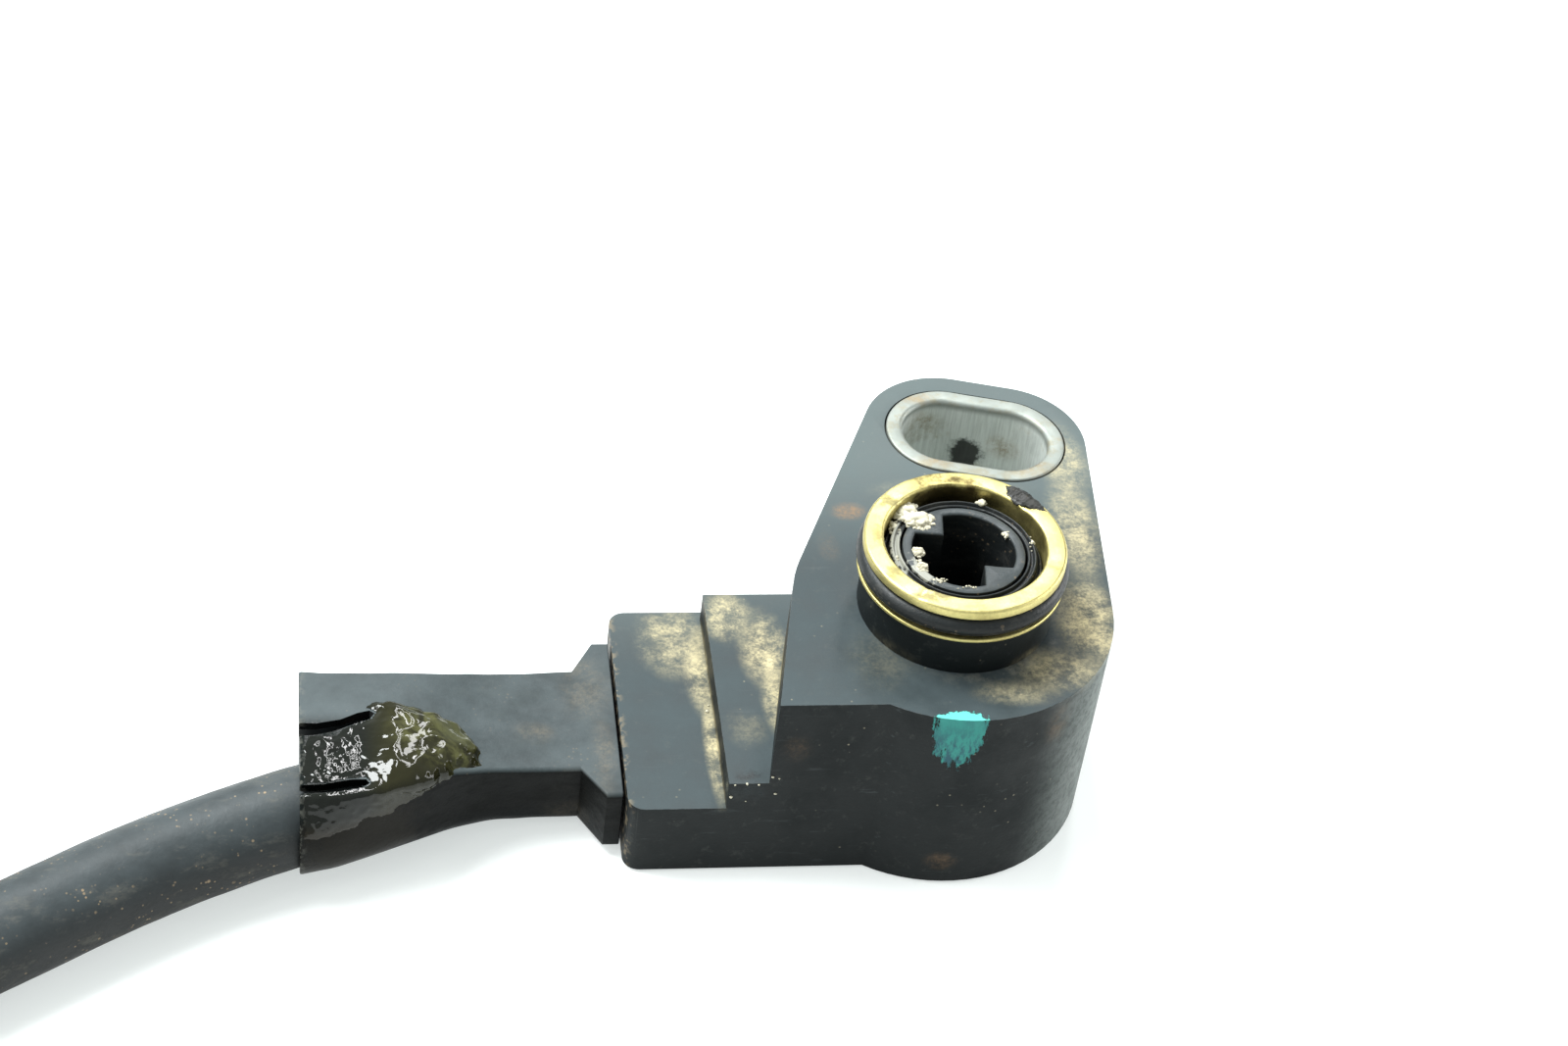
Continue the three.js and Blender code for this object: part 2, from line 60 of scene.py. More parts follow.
def make_camera():
    data = bpy.data.cameras.new("camera")
    data.lens = LENS
    data.sensor_width = SENSOR
    data.clip_start = 0.005
    data.clip_end = 20
    camera = placed("camera", data)
    first, second, third = (Matrix.Rotation(angle, 4, axis) for angle, axis in CAMERA_TURNS)
    camera.matrix_world = Matrix.Translation(Vector(CAMERA_PLACE) * MM) @ (first @ second @ third)
    SCENE.camera = camera


make_camera()


# ------ mesh tools

def finish_mesh(obj, body="sensor", material=None, slot=None, replaces=(), sharp=35):
    """Smooth shading with sharp edges kept, and the piece's body and replaced nodes. slot is not used."""
    bm = bmesh.new()
    bm.from_mesh(obj.data)
    bmesh.ops.recalc_face_normals(bm, faces=bm.faces)
    for face in bm.faces:
        face.smooth = True
    for edge in bm.edges:
        edge.smooth = edge.calc_face_angle(math.pi) < math.radians(sharp)
    bm.to_mesh(obj.data)
    bm.free()
    if replaces:
        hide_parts(*replaces)
    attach(obj, body)
    if material:
        obj.data.materials.clear()
        obj.data.materials.append(material)
    return obj


def new_mesh(name, verts, faces):
    """A mesh from points in millimetres, with its normals outward."""
    mesh = bpy.data.meshes.new(name)
    mesh.from_pydata((np.asarray(verts, float) * MM).tolist(), [], [list(f) for f in faces])
    bm = bmesh.new()
    bm.from_mesh(mesh)
    bmesh.ops.recalc_face_normals(bm, faces=bm.faces)
    bm.to_mesh(mesh)
    bm.free()
    return mesh


def mesh_object(name, verts, faces, **rest):
    return finish_mesh(placed(name, new_mesh(name, verts, faces)), **rest)


def around(count):
    """Angles evenly round a circle."""
    return np.linspace(0, 2 * math.pi, count, endpoint=False)


def grid_faces(rows, cols, wrap_rows=False, capped=False):
    """Quads between rows of points that each go round a loop. capped closes the first and the last row."""
    faces = []
    for i in range(rows if wrap_rows else rows - 1):
        k = (i + 1) % rows
        for j in range(cols):
            m = (j + 1) % cols
            faces.append([i * cols + j, i * cols + m, k * cols + m, k * cols + j])
    if capped:
        faces += [list(range(cols)), [(rows - 1) * cols + j for j in range(cols)]]
    return faces


def round_corner(p, before, after, radius, count=6, share=math.inf):
    """Points on the arc that rounds the corner at p. It takes up no more than its share of either side."""
    p = np.array(p, float)
    a, b = np.array(before, float) - p, np.array(after, float) - p
    la, lb = np.linalg.norm(a), np.linalg.norm(b)
    a, b = a / la, b / lb
    half = math.acos(np.clip(a @ b, -1, 1)) / 2
    reach = min(radius / max(math.tan(half), 1e-3), share * la, share * lb)
    r = reach * math.tan(half)
    centre = p + (a + b) / np.linalg.norm(a + b) * r / max(math.sin(half), 1e-3)
    start, end = p + a * reach - centre, p + b * reach - centre
    spokes = [start + (end - start) * k / (count - 1) for k in range(count)]
    return [centre + spoke / np.linalg.norm(spoke) * r for spoke in spokes]


def fillet(points, radius, steps=4):
    """A closed polygon of (r, z) with its corners rounded; radius may be one number or one per corner."""
    count = len(points)
    radii = radius if isinstance(radius, (list, tuple)) else [radius] * count
    out = []
    for i, here in enumerate(points):
        out += round_corner(here, points[i - 1], points[(i + 1) % count], radii[i], steps + 1, 0.45)
    return [tuple(p) for p in out]


def turned(name, profile, sides, wobble, **rest):
    """A closed profile of (r, z) turned about the rotor axis. wobble moves the points."""
    ring = np.array(profile, float)
    verts = np.array([[r * math.cos(a), r * math.sin(a), z] for a in around(sides) for r, z in ring])
    mesh_object(name, wobble(verts), grid_faces(sides, len(ring), wrap_rows=True), **rest)


def smooth_noise(points, scale, seed=0.0, octaves=3):
    """Fractal noise of about -1 to 1 at points in millimetres, for features about scale millimetres wide."""
    shift = Vector((seed * 7.3, seed * 3.1, seed * 5.7))
    return np.array([
        noise.fractal(Vector(p) / scale + shift, 1.0, 2.0, octaves, noise_basis="PERLIN_ORIGINAL")
        for p in points
    ])


def step(x, lo, hi):
    """0 up to lo, 1 from hi on, and smooth between."""
    t = np.clip((np.asarray(x, float) - lo) / (hi - lo), 0, 1)
    return t * t * (3 - 2 * t)


def catmull(points, per):
    """A smooth line through the points."""
    pts = np.array(points, float)
    padded = np.vstack([2 * pts[0] - pts[1], pts, 2 * pts[-1] - pts[-2]])
    out = []
    for i in range(len(pts) - 1):
        a, b, c, d = padded[i:i + 4]
        for t in np.linspace(0, 1, per, endpoint=False):
            out.append(0.5 * (2 * b + (c - a) * t + (2 * a - 5 * b + 4 * c - d) * t * t
                              + (3 * b - a - 3 * c + d) * t ** 3))
    return np.array(out + [pts[-1]])


def travelled(points):
    """How far along a line each of its points lies."""
    return np.concatenate([[0], np.cumsum(np.linalg.norm(np.diff(points, axis=0), axis=1))])


def even(points, gap):
    """The same line with points the same distance apart."""
    lengths = travelled(points)
    count = max(2, int(round(lengths[-1] / gap)) + 1)
    at = np.linspace(0, lengths[-1], count)
    return np.stack([np.interp(at, lengths, points[:, k]) for k in range(3)], 1)


def sweep(path, radius, sides, rough, seed):
    """Points and faces of a capped tube along a path, a little lumpy. Its top line keeps facing up."""
    tangent = np.gradient(path, axis=0)
    tangent /= np.linalg.norm(tangent, axis=1)[:, None]
    side = np.cross(tangent, [0, 0, 1.0])
    side /= np.linalg.norm(side, axis=1)[:, None]
    up = np.cross(side, tangent)
    angles = around(sides)
    round_ = side[:, None] * np.cos(angles)[None, :, None] + up[:, None] * np.sin(angles)[None, :, None]
    verts = path[:, None] + round_ * radius
    lumps = smooth_noise(verts.reshape(-1, 3), 2.2, seed).reshape(len(path), sides)
    verts = verts + round_ * (rough * lumps)[..., None]
    faces = [f[::-1] for f in grid_faces(len(path), sides, capped=True)]
    faces[-2].reverse()
    return verts.reshape(-1, 3), faces


# ------ cord route, in millimetres

LEAD = [(-35.0, -5.55, 3.45), (-36.6, -5.95, 3.4), (-38.4, -6.45, 3.4), (-41.5, -7.5, 3.15), (-44.3, -8.6, 2.95),
        (-47, -9.95, 2.9), (-49.7, -11.45, 2.9), (-52.3, -13.05, 2.9), (-54.9, -14.65, 2.9),
        (-60.5, -18.1, 2.9), (-66.2, -21.6, 2.9), (-72.1, -25, 2.9), (-78.21, -28.31, 2.9)]
TAIL = [(-124.46, -2.15, 8.8), (-125.1, 4, 8.75), (-125.9, 10, 8.3), (-126.5, 16, 7.2),
        (-126.8, 22, 6.15), (-126.9, 27.1, 5.8), (-126.9, 29, 5.8)]
COIL_X, COIL_Y, COIL_R = -93, -0.5, 31.5
CABLE_R = 2.9


def cord_path():
    """From inside the boot, once round the coil and a third of a turn over itself, and into the plug."""
    turn = []
    for s in np.arange(4, 472, 4.0):
        a = math.radians(-62 - s)
        rise = (2 * CABLE_R + 0.05) * step(s, 232, 335)
        lift = 0.45 * math.exp(-((s - 58) / 24) ** 2) + 0.45 * math.exp(-((s - 418) / 24) ** 2)
        turn.append((COIL_X + COIL_R * math.cos(a), COIL_Y + COIL_R * math.sin(a), CABLE_R + rise + lift))
    lead = catmull(LEAD, 10)
    tail = catmull(TAIL, 10)
    return even(np.vstack([lead, turn, tail]), 0.6)


def make_cord():
    """The cable as one swept mesh, with its path and length in millimetres."""
    path = cord_path()
    verts, faces = sweep(path, CABLE_R - 0.02, 36, rough=0.025, seed=3)
    cable = mesh_object("cable", verts, faces, slot="cable_jacket",
                        replaces=("jacket_end", "cable_lead", "cable_coil", "cable_tail"))
    return cable, path, float(travelled(path)[-1])


CABLE, CABLE_PATH, CABLE_LENGTH = make_cord()


# ------ materials

class Look:
    """A procedural material built up in layers. Sizes and places are in millimetres."""

    def __init__(self, name, colour, rough, metal=0.0, **sockets):
        self.material = bpy.data.materials.new(name)
        self.material.use_nodes = True
        self.tree = self.material.node_tree
        self.shader = self.tree.nodes["Principled BSDF"]
        self.place = self.node("TexCoord").outputs["Object"]
        self.colour = (*colour, 1)
        self.rough = rough
        self.normal = None
        self.shader.inputs["Metallic"].default_value = metal
        for key, value in sockets.items():
            self.shader.inputs[key.replace("_", " ")].default_value = value

    def node(self, kind, **settings):
        made = self.tree.nodes.new("ShaderNode" + kind)
        for key, value in settings.items():
            setattr(made, key, value)
        return made

    def feed(self, socket, value):
        if isinstance(value, bpy.types.NodeSocket):
            self.tree.links.new(value, socket)
        else:
            socket.default_value = value

    def scaled(self, size, stretch, seed):
        mapping = self.node("Mapping")
        self.feed(mapping.inputs["Vector"], self.place)
        mapping.inputs["Scale"].default_value = [1 / (MM * size * k) for k in stretch]
        mapping.inputs["Location"].default_value = (seed * 3.7, seed * 1.9, seed * 5.3)
        return mapping.outputs["Vector"]

    def noise(self, size, detail=4.0, rough=0.55, stretch=(1, 1, 1), seed=0.0, distort=0.0):
        made = self.node("TexNoise")
        self.feed(made.inputs["Vector"], self.scaled(size, stretch, seed))
        for key, value in (("Scale", 1.0), ("Detail", detail), ("Roughness", rough), ("Distortion", distort)):
            made.inputs[key].default_value = value
        return made.outputs[0]

    def specks(self, size, fill, seed=0.0):
        """1 in small round spots, 0 between them."""
        made = self.node("TexVoronoi")
        self.feed(made.inputs["Vector"], self.scaled(size, (1, 1, 1), seed))
        made.inputs["Scale"].default_value = 1.0
        return self.remap(made.outputs["Distance"], fill, fill * 0.5)

    def remap(self, value, lo, hi, a=0.0, b=1.0):
        made = self.node("MapRange", interpolation_type="SMOOTHSTEP")
        for key, given in zip(("Value", "From Min", "From Max", "To Min", "To Max"), (value, lo, hi, a, b)):
            self.feed(made.inputs[key], given)
        return made.outputs["Result"]

    def op(self, kind, a, b=0.0):
        made = self.node("Math", operation=kind)
        self.feed(made.inputs[0], a)
        self.feed(made.inputs[1], b)
        return made.outputs[0]

    def times(self, out, *values):
        for value in values:
            out = self.op("MULTIPLY", out, value)
        return out

    def most(self, out, *values):
        for value in values:
            out = self.op("MAXIMUM", out, value)
        return out

    def distance(self, centre, scale):
        """How far a point is from centre, with each axis scaled."""
        moved = self.node("VectorMath", operation="SUBTRACT")
        self.feed(moved.inputs[0], self.place)
        moved.inputs[1].default_value = [v * MM for v in centre]
        shrunk = self.node("VectorMath", operation="MULTIPLY")
        self.feed(shrunk.inputs[0], moved.outputs[0])
        shrunk.inputs[1].default_value = [k / MM for k in scale]
        far = self.node("VectorMath", operation="LENGTH")
        self.feed(far.inputs[0], shrunk.outputs[0])
        return far.outputs["Value"]

    def near(self, centre, radii):
        """1 at centre, falling to 0 on the ellipsoid around it."""
        return self.op("SUBTRACT", 1.0, self.distance(centre, [1 / r for r in radii]))

    def patch(self, centre, radii, grain=1.2, rag=0.9, edge=(0.35, 0.6), seed=0.0):
        """A ragged stain."""
        inside = self.near(centre, radii)
        ragged = self.op("MULTIPLY", self.op("SUBTRACT", self.noise(grain, 6, 0.65, seed=seed), 0.5), rag * 2)
        return self.remap(self.op("ADD", inside, ragged), *edge)

    def dusting(self, centre, radii, seed=0.0):
        """A broad stain that thins out softly, with finer grains in it."""
        inside = self.remap(self.near(centre, radii), 0.0, 0.8)
        cloud = self.remap(self.noise(2.2, 8, 0.78, seed=seed), 0.38, 0.62, 0.12, 1.0)
        grains = self.remap(self.noise(0.22, 4, 0.65, seed=seed + 3), 0.35, 0.6, 0.5, 1.0)
        return self.times(inside, cloud, grains)

    def dust(self, spots, colour, rough=None):
        """Dusty stains: each has its centre, radii, seed and strength."""
        for centre, radii, seed, much in spots:
            mask = self.times(self.dusting(centre, radii, seed), much)
            self.tint(colour, mask)
            if rough is not None:
                self.wear(rough, mask)

    def part(self, vector, letter):
        split = self.node("SeparateXYZ")
        self.feed(split.inputs[0], vector)
        return split.outputs[letter]

    def axis(self, letter):
        return self.op("MULTIPLY", self.part(self.place, letter), 1 / MM)

    def along(self, letter, lo, hi, a=0.0, b=1.0):
        """a up to lo on one axis, and b from hi on."""
        return self.remap(self.axis(letter), lo, hi, a, b)

    def ring_radius(self):
        """Distance from the rotor's axis."""
        return self.distance((0, 0, 0), (1, 1, 0))

    def facing_up(self, lo=0.3, hi=0.95):
        return self.remap(self.part(self.node("NewGeometry").outputs["Normal"], "Z"), lo, hi)

    def facing_aside(self, lo, hi):
        return self.remap(self.facing_up(lo, hi), 0, 1, 1, 0)

    def mix(self, kind, first, old, new, masks):
        """A mix node of a kind whose two inputs start at first. It shows new as far as all the masks allow."""
        made = self.node("Mix", data_type=kind)
        for index, value in ((0, self.times(*masks)), (first, old), (first + 1, new)):
            self.feed(made.inputs[index], value)
        return made

    def tint(self, colour, *masks):
        """Colour laid over what is there."""
        self.colour = self.mix("RGBA", 6, self.colour, (*colour, 1), masks).outputs[2]

    def wear(self, rough, *masks):
        self.rough = self.mix("FLOAT", 2, self.rough, rough, masks).outputs[0]

    def bump(self, height, depth, strength=1.0):
        made = self.node("Bump")
        made.inputs["Strength"].default_value = strength
        made.inputs["Distance"].default_value = depth * MM
        self.feed(made.inputs["Height"], height)
        if self.normal:
            self.feed(made.inputs["Normal"], self.normal)
        self.normal = made.outputs[0]

    def done(self):
        self.feed(self.shader.inputs["Base Color"], self.colour)
        self.feed(self.shader.inputs["Roughness"], self.rough)
        if self.normal:
            self.feed(self.shader.inputs["Normal"], self.normal)
        return self.material


TAN = (0.52, 0.45, 0.27)
RUST = (0.22, 0.13, 0.065)
BROWN = (0.19, 0.155, 0.11)


def moulded(look):
    """Mould texture, fine scratches and the grey dust that settles on what faces up."""
    cloud = look.noise(3.5, 5, 0.6, seed=2)
    fine = look.noise(0.25, 3, 0.6, seed=5)
    scratch = look.noise(0.5, 3, 0.7, stretch=(9, 1, 1), seed=8)
    look.tint((0.052, 0.068, 0.073), look.facing_up(), look.remap(cloud, 0.2, 0.75, 0.44, 0.8))
    look.tint((0.07, 0.083, 0.087), look.remap(scratch, 0.62, 0.76, 0, 0.22))
    mottle = look.noise(0.8, 6, 0.7, seed=12)
    look.tint((0.09, 0.095, 0.085), look.remap(mottle, 0.55, 0.72), 0.14)
    look.tint((0.2, 0.18, 0.13), look.specks(0.9, 0.10, 4), look.remap(cloud, 0.45, 0.7))
    look.wear(0.62, look.remap(cloud, 0.35, 0.7))
    look.bump(fine, 0.012, 0.8)
    look.bump(scratch, 0.008, 0.6)


def housing_look():
    look = Look("housing_plastic", (0.0065, 0.0085, 0.009), 0.42, Specular_IOR_Level=0.12)
    moulded(look)
    # worn pale lips of the rounded edges, and a haze towards the ear
    lip = look.times(look.facing_up(0.25, 0.5), look.op("SUBTRACT", 1.0, look.facing_up(0.8, 0.97)))
    look.tint((0.15, 0.16, 0.16), lip, look.remap(look.noise(0.6, 5, 0.7, seed=50), 0.4, 0.6), 0.7)
    look.tint((0.15, 0.18, 0.175), look.facing_up(0.6, 0.97), look.along("Y", 2.0, 14.0), 0.35)
    # dried mud on the steps and round the top's right side
    tan_dust = [
        ((-15.6, 5.8, 5.3), (2.8, 4.0, 1.0), 0, 0.75), ((-14.1, 3.0, 5.3), (1.3, 4.6, 0.9), 1, 0.8),
        ((-13.9, -3.4, 5.3), (0.75, 5.6, 0.9), 2, 0.9), ((-12.4, 5.6, 7.4), (2.0, 2.8, 1.2), 3, 0.95),
        ((-10.4, 2.8, 7.9), (2.0, 4.2, 2.4), 4, 1.0), ((-10.1, -1.4, 7.6), (1.2, 3.8, 1.8), 5, 0.85),
        ((-12.2, -3.8, 7.4), (1.6, 2.0, 0.8), 6, 0.15), ((8.0, -1.6, 13.9), (2.6, 4.6, 1.0), 7, 1.0),
        ((5.4, -5.6, 13.9), (3.6, 2.3, 1.0), 8, 0.75), ((2.6, -7.4, 13.9), (3.2, 1.3, 1.0), 18, 0.45),
        ((8.6, 6.4, 13.9), (2.0, 6.0, 1.0), 9, 0.6), ((9.0, 12.4, 13.9), (1.9, 4.8, 1.0), 10, 0.55),
        ((1.2, 10.0, 13.9), (5.6, 1.4, 1.0), 17, 0.35), ((-5.0, -4.6, 13.9), (2.6, 3.2, 1.0), 19, 0.08),
    ]
    look.dust(tan_dust, TAN, 0.85)
    rust = [((-5.3, 8.1, 13.9), (1.5, 1.0, 0.9), 11, 0.65), ((-6.9, 5.0, 13.9), (0.9, 2.0, 0.9), 12, 0.15),
            ((-10.0, -8.2, 10.3), (1.2, 0.8, 1.4), 13, 0.14), ((-0.6, -9.6, 1.8), (1.4, 0.9, 1.0), 14, 0.35),
            ((-9.2, 1.0, 10.0), (0.9, 5.0, 3.0), 15, 0.25), ((5.4, -8.2, 12.0), (1.3, 1.4, 2.2), 16, 0.28)]
    look.dust(rust, RUST)
    # what was swept up round the collar's foot, and on the right flank a painted sheen broken into dust specks
    foot = look.op("SUBTRACT", 1.0, look.op("ABSOLUTE", look.op("SUBTRACT", look.ring_radius(), 6.2)))
    swept = look.remap(look.noise(0.9, 6, 0.7, seed=61), 0.42, 0.66)
    right_side = look.along("X", -3.5, 2.0, 0.1, 1.0)
    look.tint((0.16, 0.16, 0.135), look.remap(foot, 0.2, 0.9), look.facing_up(0.7, 0.95), swept, right_side, 0.45)
    # painted reflection: the right flank's side faces are lightened like a grazing sheen, with dust specks in it
    flank_sheen_and_specks = look.times(look.along("X", 3.6, 8.6), look.along("Y", 5.0, -2.5), look.facing_aside(0.2, 0.6))
    look.tint((0.17, 0.195, 0.185), flank_sheen_and_specks, look.remap(look.noise(0.45, 6, 0.75, seed=71), 0.35, 0.6, 0.45, 1.0), 0.8)
    # a damp spot, and the dab of paint on the edge: ragged and thin below, and lighter where it faces up, partly
    # thicker paint and partly a painted highlight
    damp = look.patch((-12.6, -7.6, 6.6), (1.9, 1.2, 1.3), 0.8, 0.5, (0.2, 0.5), 20)
    look.tint((0.010, 0.014, 0.015), damp)
    look.wear(0.25, damp)
    paint = look.near((-1.1, -9.75, 13.7), (1.95, 1.1, 4.2))
    rag = look.op("SUBTRACT", look.noise(0.32, 5, 0.65, stretch=(1, 1, 3), seed=31), 0.5)
    mask = look.remap(look.op("ADD", paint, rag), 0.1, 0.17)
    thin = look.remap(look.noise(0.4, 6, 0.7, stretch=(1, 1, 3), seed=33), 0.42, 0.6)
    look.tint((0.032, 0.205, 0.18), mask)
    look.tint((0.022, 0.075, 0.095), mask, thin, look.along("Z", 13.4, 11.4, 0.3, 1.0))
    # painted highlight: the paint is lighter where it faces up
    look.tint((0.10, 0.43, 0.38), mask, look.facing_up(0.5, 0.95))
    look.bump(mask, 0.04)
    # grime in the gap next to the boot
    grime = look.along("X", -18.9, -19.5)
    look.tint((0.24, 0.19, 0.12), grime, look.remap(look.noise(0.5, 5, 0.6, seed=40), 0.52, 0.6), 0.5)
    return look.done()


def rubber_look(name, base=(0.009, 0.011, 0.0115), rough=0.5, dust=(0.05, 0.062, 0.066), grit=0.5, level=0.8,
                gloss=0.2):
    look = Look(name, base, rough, Specular_IOR_Level=gloss)
    cloud = look.noise(2.6, 6, 0.65, seed=3)
    smear = look.noise(1.0, 7, 0.75, stretch=(3, 1.5, 1), seed=7)
    look.tint(dust, look.facing_up(0.1, 0.95), look.remap(cloud, 0.2, 0.7, 0.5 * level, level))
    look.tint((0.10, 0.097, 0.083), look.remap(smear, 0.5, 0.68), grit * 0.5)
    crumbs = look.most(look.specks(0.42, 0.2, 1), look.specks(0.75, 0.14, 9), look.specks(1.6, 0.1, 5))
    look.tint((0.26, 0.19, 0.115), crumbs, look.remap(cloud, 0.46, 0.62), grit)
    look.wear(min(0.9, rough + 0.25), look.remap(smear, 0.4, 0.7))
    look.bump(look.noise(0.3, 4, 0.65, seed=2), 0.02)
    look.bump(look.noise(1.6, 3, 0.5, seed=6), 0.06, 0.5)
    return look


def boot_look():
    """Matt rubber, dustier towards its open end."""
    look = rubber_look("boot_rubber", (0.007, 0.0085, 0.009), 0.38, dust=(0.062, 0.076, 0.08), grit=0.15, gloss=0.09)
    look.tint((0.10, 0.12, 0.125), look.facing_up(0.5, 0.97), look.along("X", -24.0, -37.0, 0.04, 0.22))
    look.dust([((-21.3, 2.2, 4.8), (2.2, 3.6, 1.0), 1, 0.34), ((-20.5, -3.5, 4.9), (1.0, 4.0, 0.8), 2, 0.34),
               ((-24.6, -1.6, 5.0), (1.8, 1.2, 0.7), 3, 0.34), ((-22.5, -4.8, 2.5), (2.4, 1.4, 3.0), 4, 0.34)],
              BROWN)
    # wet with compound at its open end, with a brown film over it; its front faces are painted near black as shade,
    # darkest near the top
    wet = look.times(look.along("X", -34.0, -36.5), look.along("Y", -1.5, -3.0))
    look.tint((0.006, 0.008, 0.0075), wet)
    look.wear(0.1, wet, 0.9)
    # painted shade: the front faces along the whole boot are darkened nearly to black, most near the top
    look.tint((0.002, 0.0024, 0.0022), look.facing_aside(0.15, 0.6), look.along("Y", -1.0, -3.0),
              look.along("Z", 0.9, 2.4, 0.3, 1.0), 0.95)
    film = look.patch((-35.0, -8.4, 3.2), (5.4, 3.4, 4.4), 1.6, 0.6, (0.05, 0.5), 7)
    look.tint((0.008, 0.0068, 0.0045), film, 0.9)
    look.wear(0.36, film)
    look.tint((0.12, 0.12, 0.105), look.along("X", -37.9, -38.35), look.remap(look.noise(0.4, 4), 0.45, 0.6), 0.4)
    return look.done()


def metal_look(name, colour, dark, rough, brush, grime):
    look = Look(name, colour, rough, 1.0)
    lines = look.noise(0.16, 3, 0.6, stretch=brush, seed=1)
    cloud = look.noise(2.0, 6, 0.65, seed=4)
    look.tint(tuple(0.55 * c for c in colour), look.remap(lines, 0.35, 0.75, 0, 0.45))
    look.tint(dark, look.remap(cloud, 0.55, 0.75), grime)
    look.wear(min(1, rough + 0.22), look.remap(cloud, 0.3, 0.7))
    look.bump(lines, 0.012, 0.7)
    look.bump(look.noise(0.35, 4, 0.6, seed=9), 0.01, 0.6)
    return look


def brass_look():
    """Brushed brass with dark spots, darker on its sides and back: partly tarnish, partly painted shade that dims
    their reflection.
    """
    look = metal_look("sleeve_brass", (0.57, 0.50, 0.21), (0.16, 0.11, 0.035), 0.36, (1, 1, 1), 0.36)
    dark_spots = [((-3.9, 3.4, 19.1), (1.5, 1.2, 0.4), 1), ((-5.1, 0.4, 19.1), (0.9, 1.6, 0.4), 2),
                  ((-2.6, -4.6, 19.1), (2.6, 1.0, 0.4), 3), ((0.5, 5.3, 19.1), (1.8, 0.7, 0.4), 4),
                  ((-4.6, -2.6, 19.1), (1.0, 1.3, 0.4), 6)]
    for centre, radii, seed in dark_spots:
        mask = look.patch(centre, radii, 0.5, 0.9, (0.35, 0.85), seed)
        look.tint((0.10, 0.09, 0.06), mask, 0.6)
        look.wear(0.7, mask, 0.6)
    across = look.op("ABSOLUTE", look.axis("X"))
    # partly tarnish, partly painted shade over the bright reflection on the sides and back
    tarnish_and_shade = look.most(look.remap(across, 3.4, 5.4), look.along("Y", 2.5, 5.0))
    look.tint((0.36, 0.31, 0.12), tarnish_and_shade, 0.55)
    inside = look.patch((-0.4, 5.0, 18.2), (3.6, 1.5, 1.3), 0.7, 0.7, (0.1, 0.5), 5)
    look.tint((0.05, 0.03, 0.012), inside, 0.8)
    return look.done()


def bush_look():
    """Pale plated metal with a grey rim and a dark patch deep on its inner wall."""
    look = metal_look("bush_metal", (0.60, 0.635, 0.605), (0.3, 0.25, 0.16), 0.45, (1, 1, 14), 0.5)
    look.tint((0.225, 0.245, 0.225), look.along("Z", 13.2, 13.8))
    rim = look.along("Z", 13.5, 13.9)
    look.tint((0.2, 0.18, 0.12), rim, look.remap(look.noise(0.9, 6, 0.7, seed=14), 0.45, 0.65), 0.6)
    # a dark patch deep down on the far inner wall of the hole
    deep_dark_patch = look.patch((4.1, 17.8, 9.9), (1.6, 1.4, 1.8), 0.6, 0.5, (0.15, 0.5), 2)
    look.tint((0.02, 0.022, 0.02), deep_dark_patch, 0.95)
    look.dust([((0.9, 17.6, 12.2), (2.2, 1.8, 1.7), 3, 0.8), ((6.2, 16.8, 11.0), (1.6, 1.8, 1.4), 4, 0.8),
               ((1.4, 12.6, 14.0), (2.6, 0.9, 0.5), 5, 0.8), ((6.9, 11.9, 14.0), (1.8, 1.2, 0.5), 6, 0.8),
               ((0.2, 18.6, 14.0), (2.0, 0.8, 0.5), 7, 0.8)], (0.23, 0.17, 0.09))
    look.shader.inputs["Metallic"].default_value = 0.7
    return look.done()


def sealant_look():
    """Glossy, olive where it is thick and near black where it is thin."""
    look = Look("sealant", (0.013, 0.0125, 0.005), 0.06, Specular_IOR_Level=0.32, IOR=1.45)
    swirl = look.noise(1.5, 5, 0.6, seed=2, distort=1.4)
    pool = look.near((-30.2, -3.2, 6.4), (3.8, 3.2, 3.0))
    look.tint((0.062, 0.062, 0.023), look.remap(pool, 0.0, 0.5), look.remap(swirl, 0.4, 0.68, 0.0, 1.0))
    look.tint((0.05, 0.052, 0.022), look.remap(look.near((-29.2, -2.8, 6.2), (1.8, 1.6, 1.6)), 0, 0.7), 0.8)
    look.tint((0.006, 0.007, 0.0055), look.along("X", -33.2, -35.0))
    look.tint((0.018, 0.012, 0.005), look.along("Z", 5.8, 4.0))
    look.bump(look.noise(0.9, 2, 0.4, seed=5, distort=1.5), 0.06, 0.5)
    return look.done()


def plain_look(name, colour, rough=0.5, metal=0.0, grain=0.3):
    """For pieces that sit inside: a fine grain, with uneven colour and gloss."""
    look = Look(name, colour, rough, metal)
    cloud = look.noise(1.8, 5, 0.6, seed=1)
    look.tint(tuple(0.55 * c for c in colour), look.remap(cloud, 0.35, 0.75, 0, 0.5))
    look.wear(min(1, rough + 0.2), look.remap(cloud, 0.3, 0.7))
    look.bump(look.noise(grain, 4, 0.6, seed=3), 0.015)
    return look.done()


def crusted(look, centre, radii, seed):
    """Pale crust along a rim."""
    look.tint((0.30, 0.30, 0.26), look.patch(centre, radii, 0.4, 0.9, (0.3, 0.5), seed), 0.75)
    look.bump(look.noise(0.15, 3, 0.6, seed=seed), 0.03, 0.6)
    return look.done()


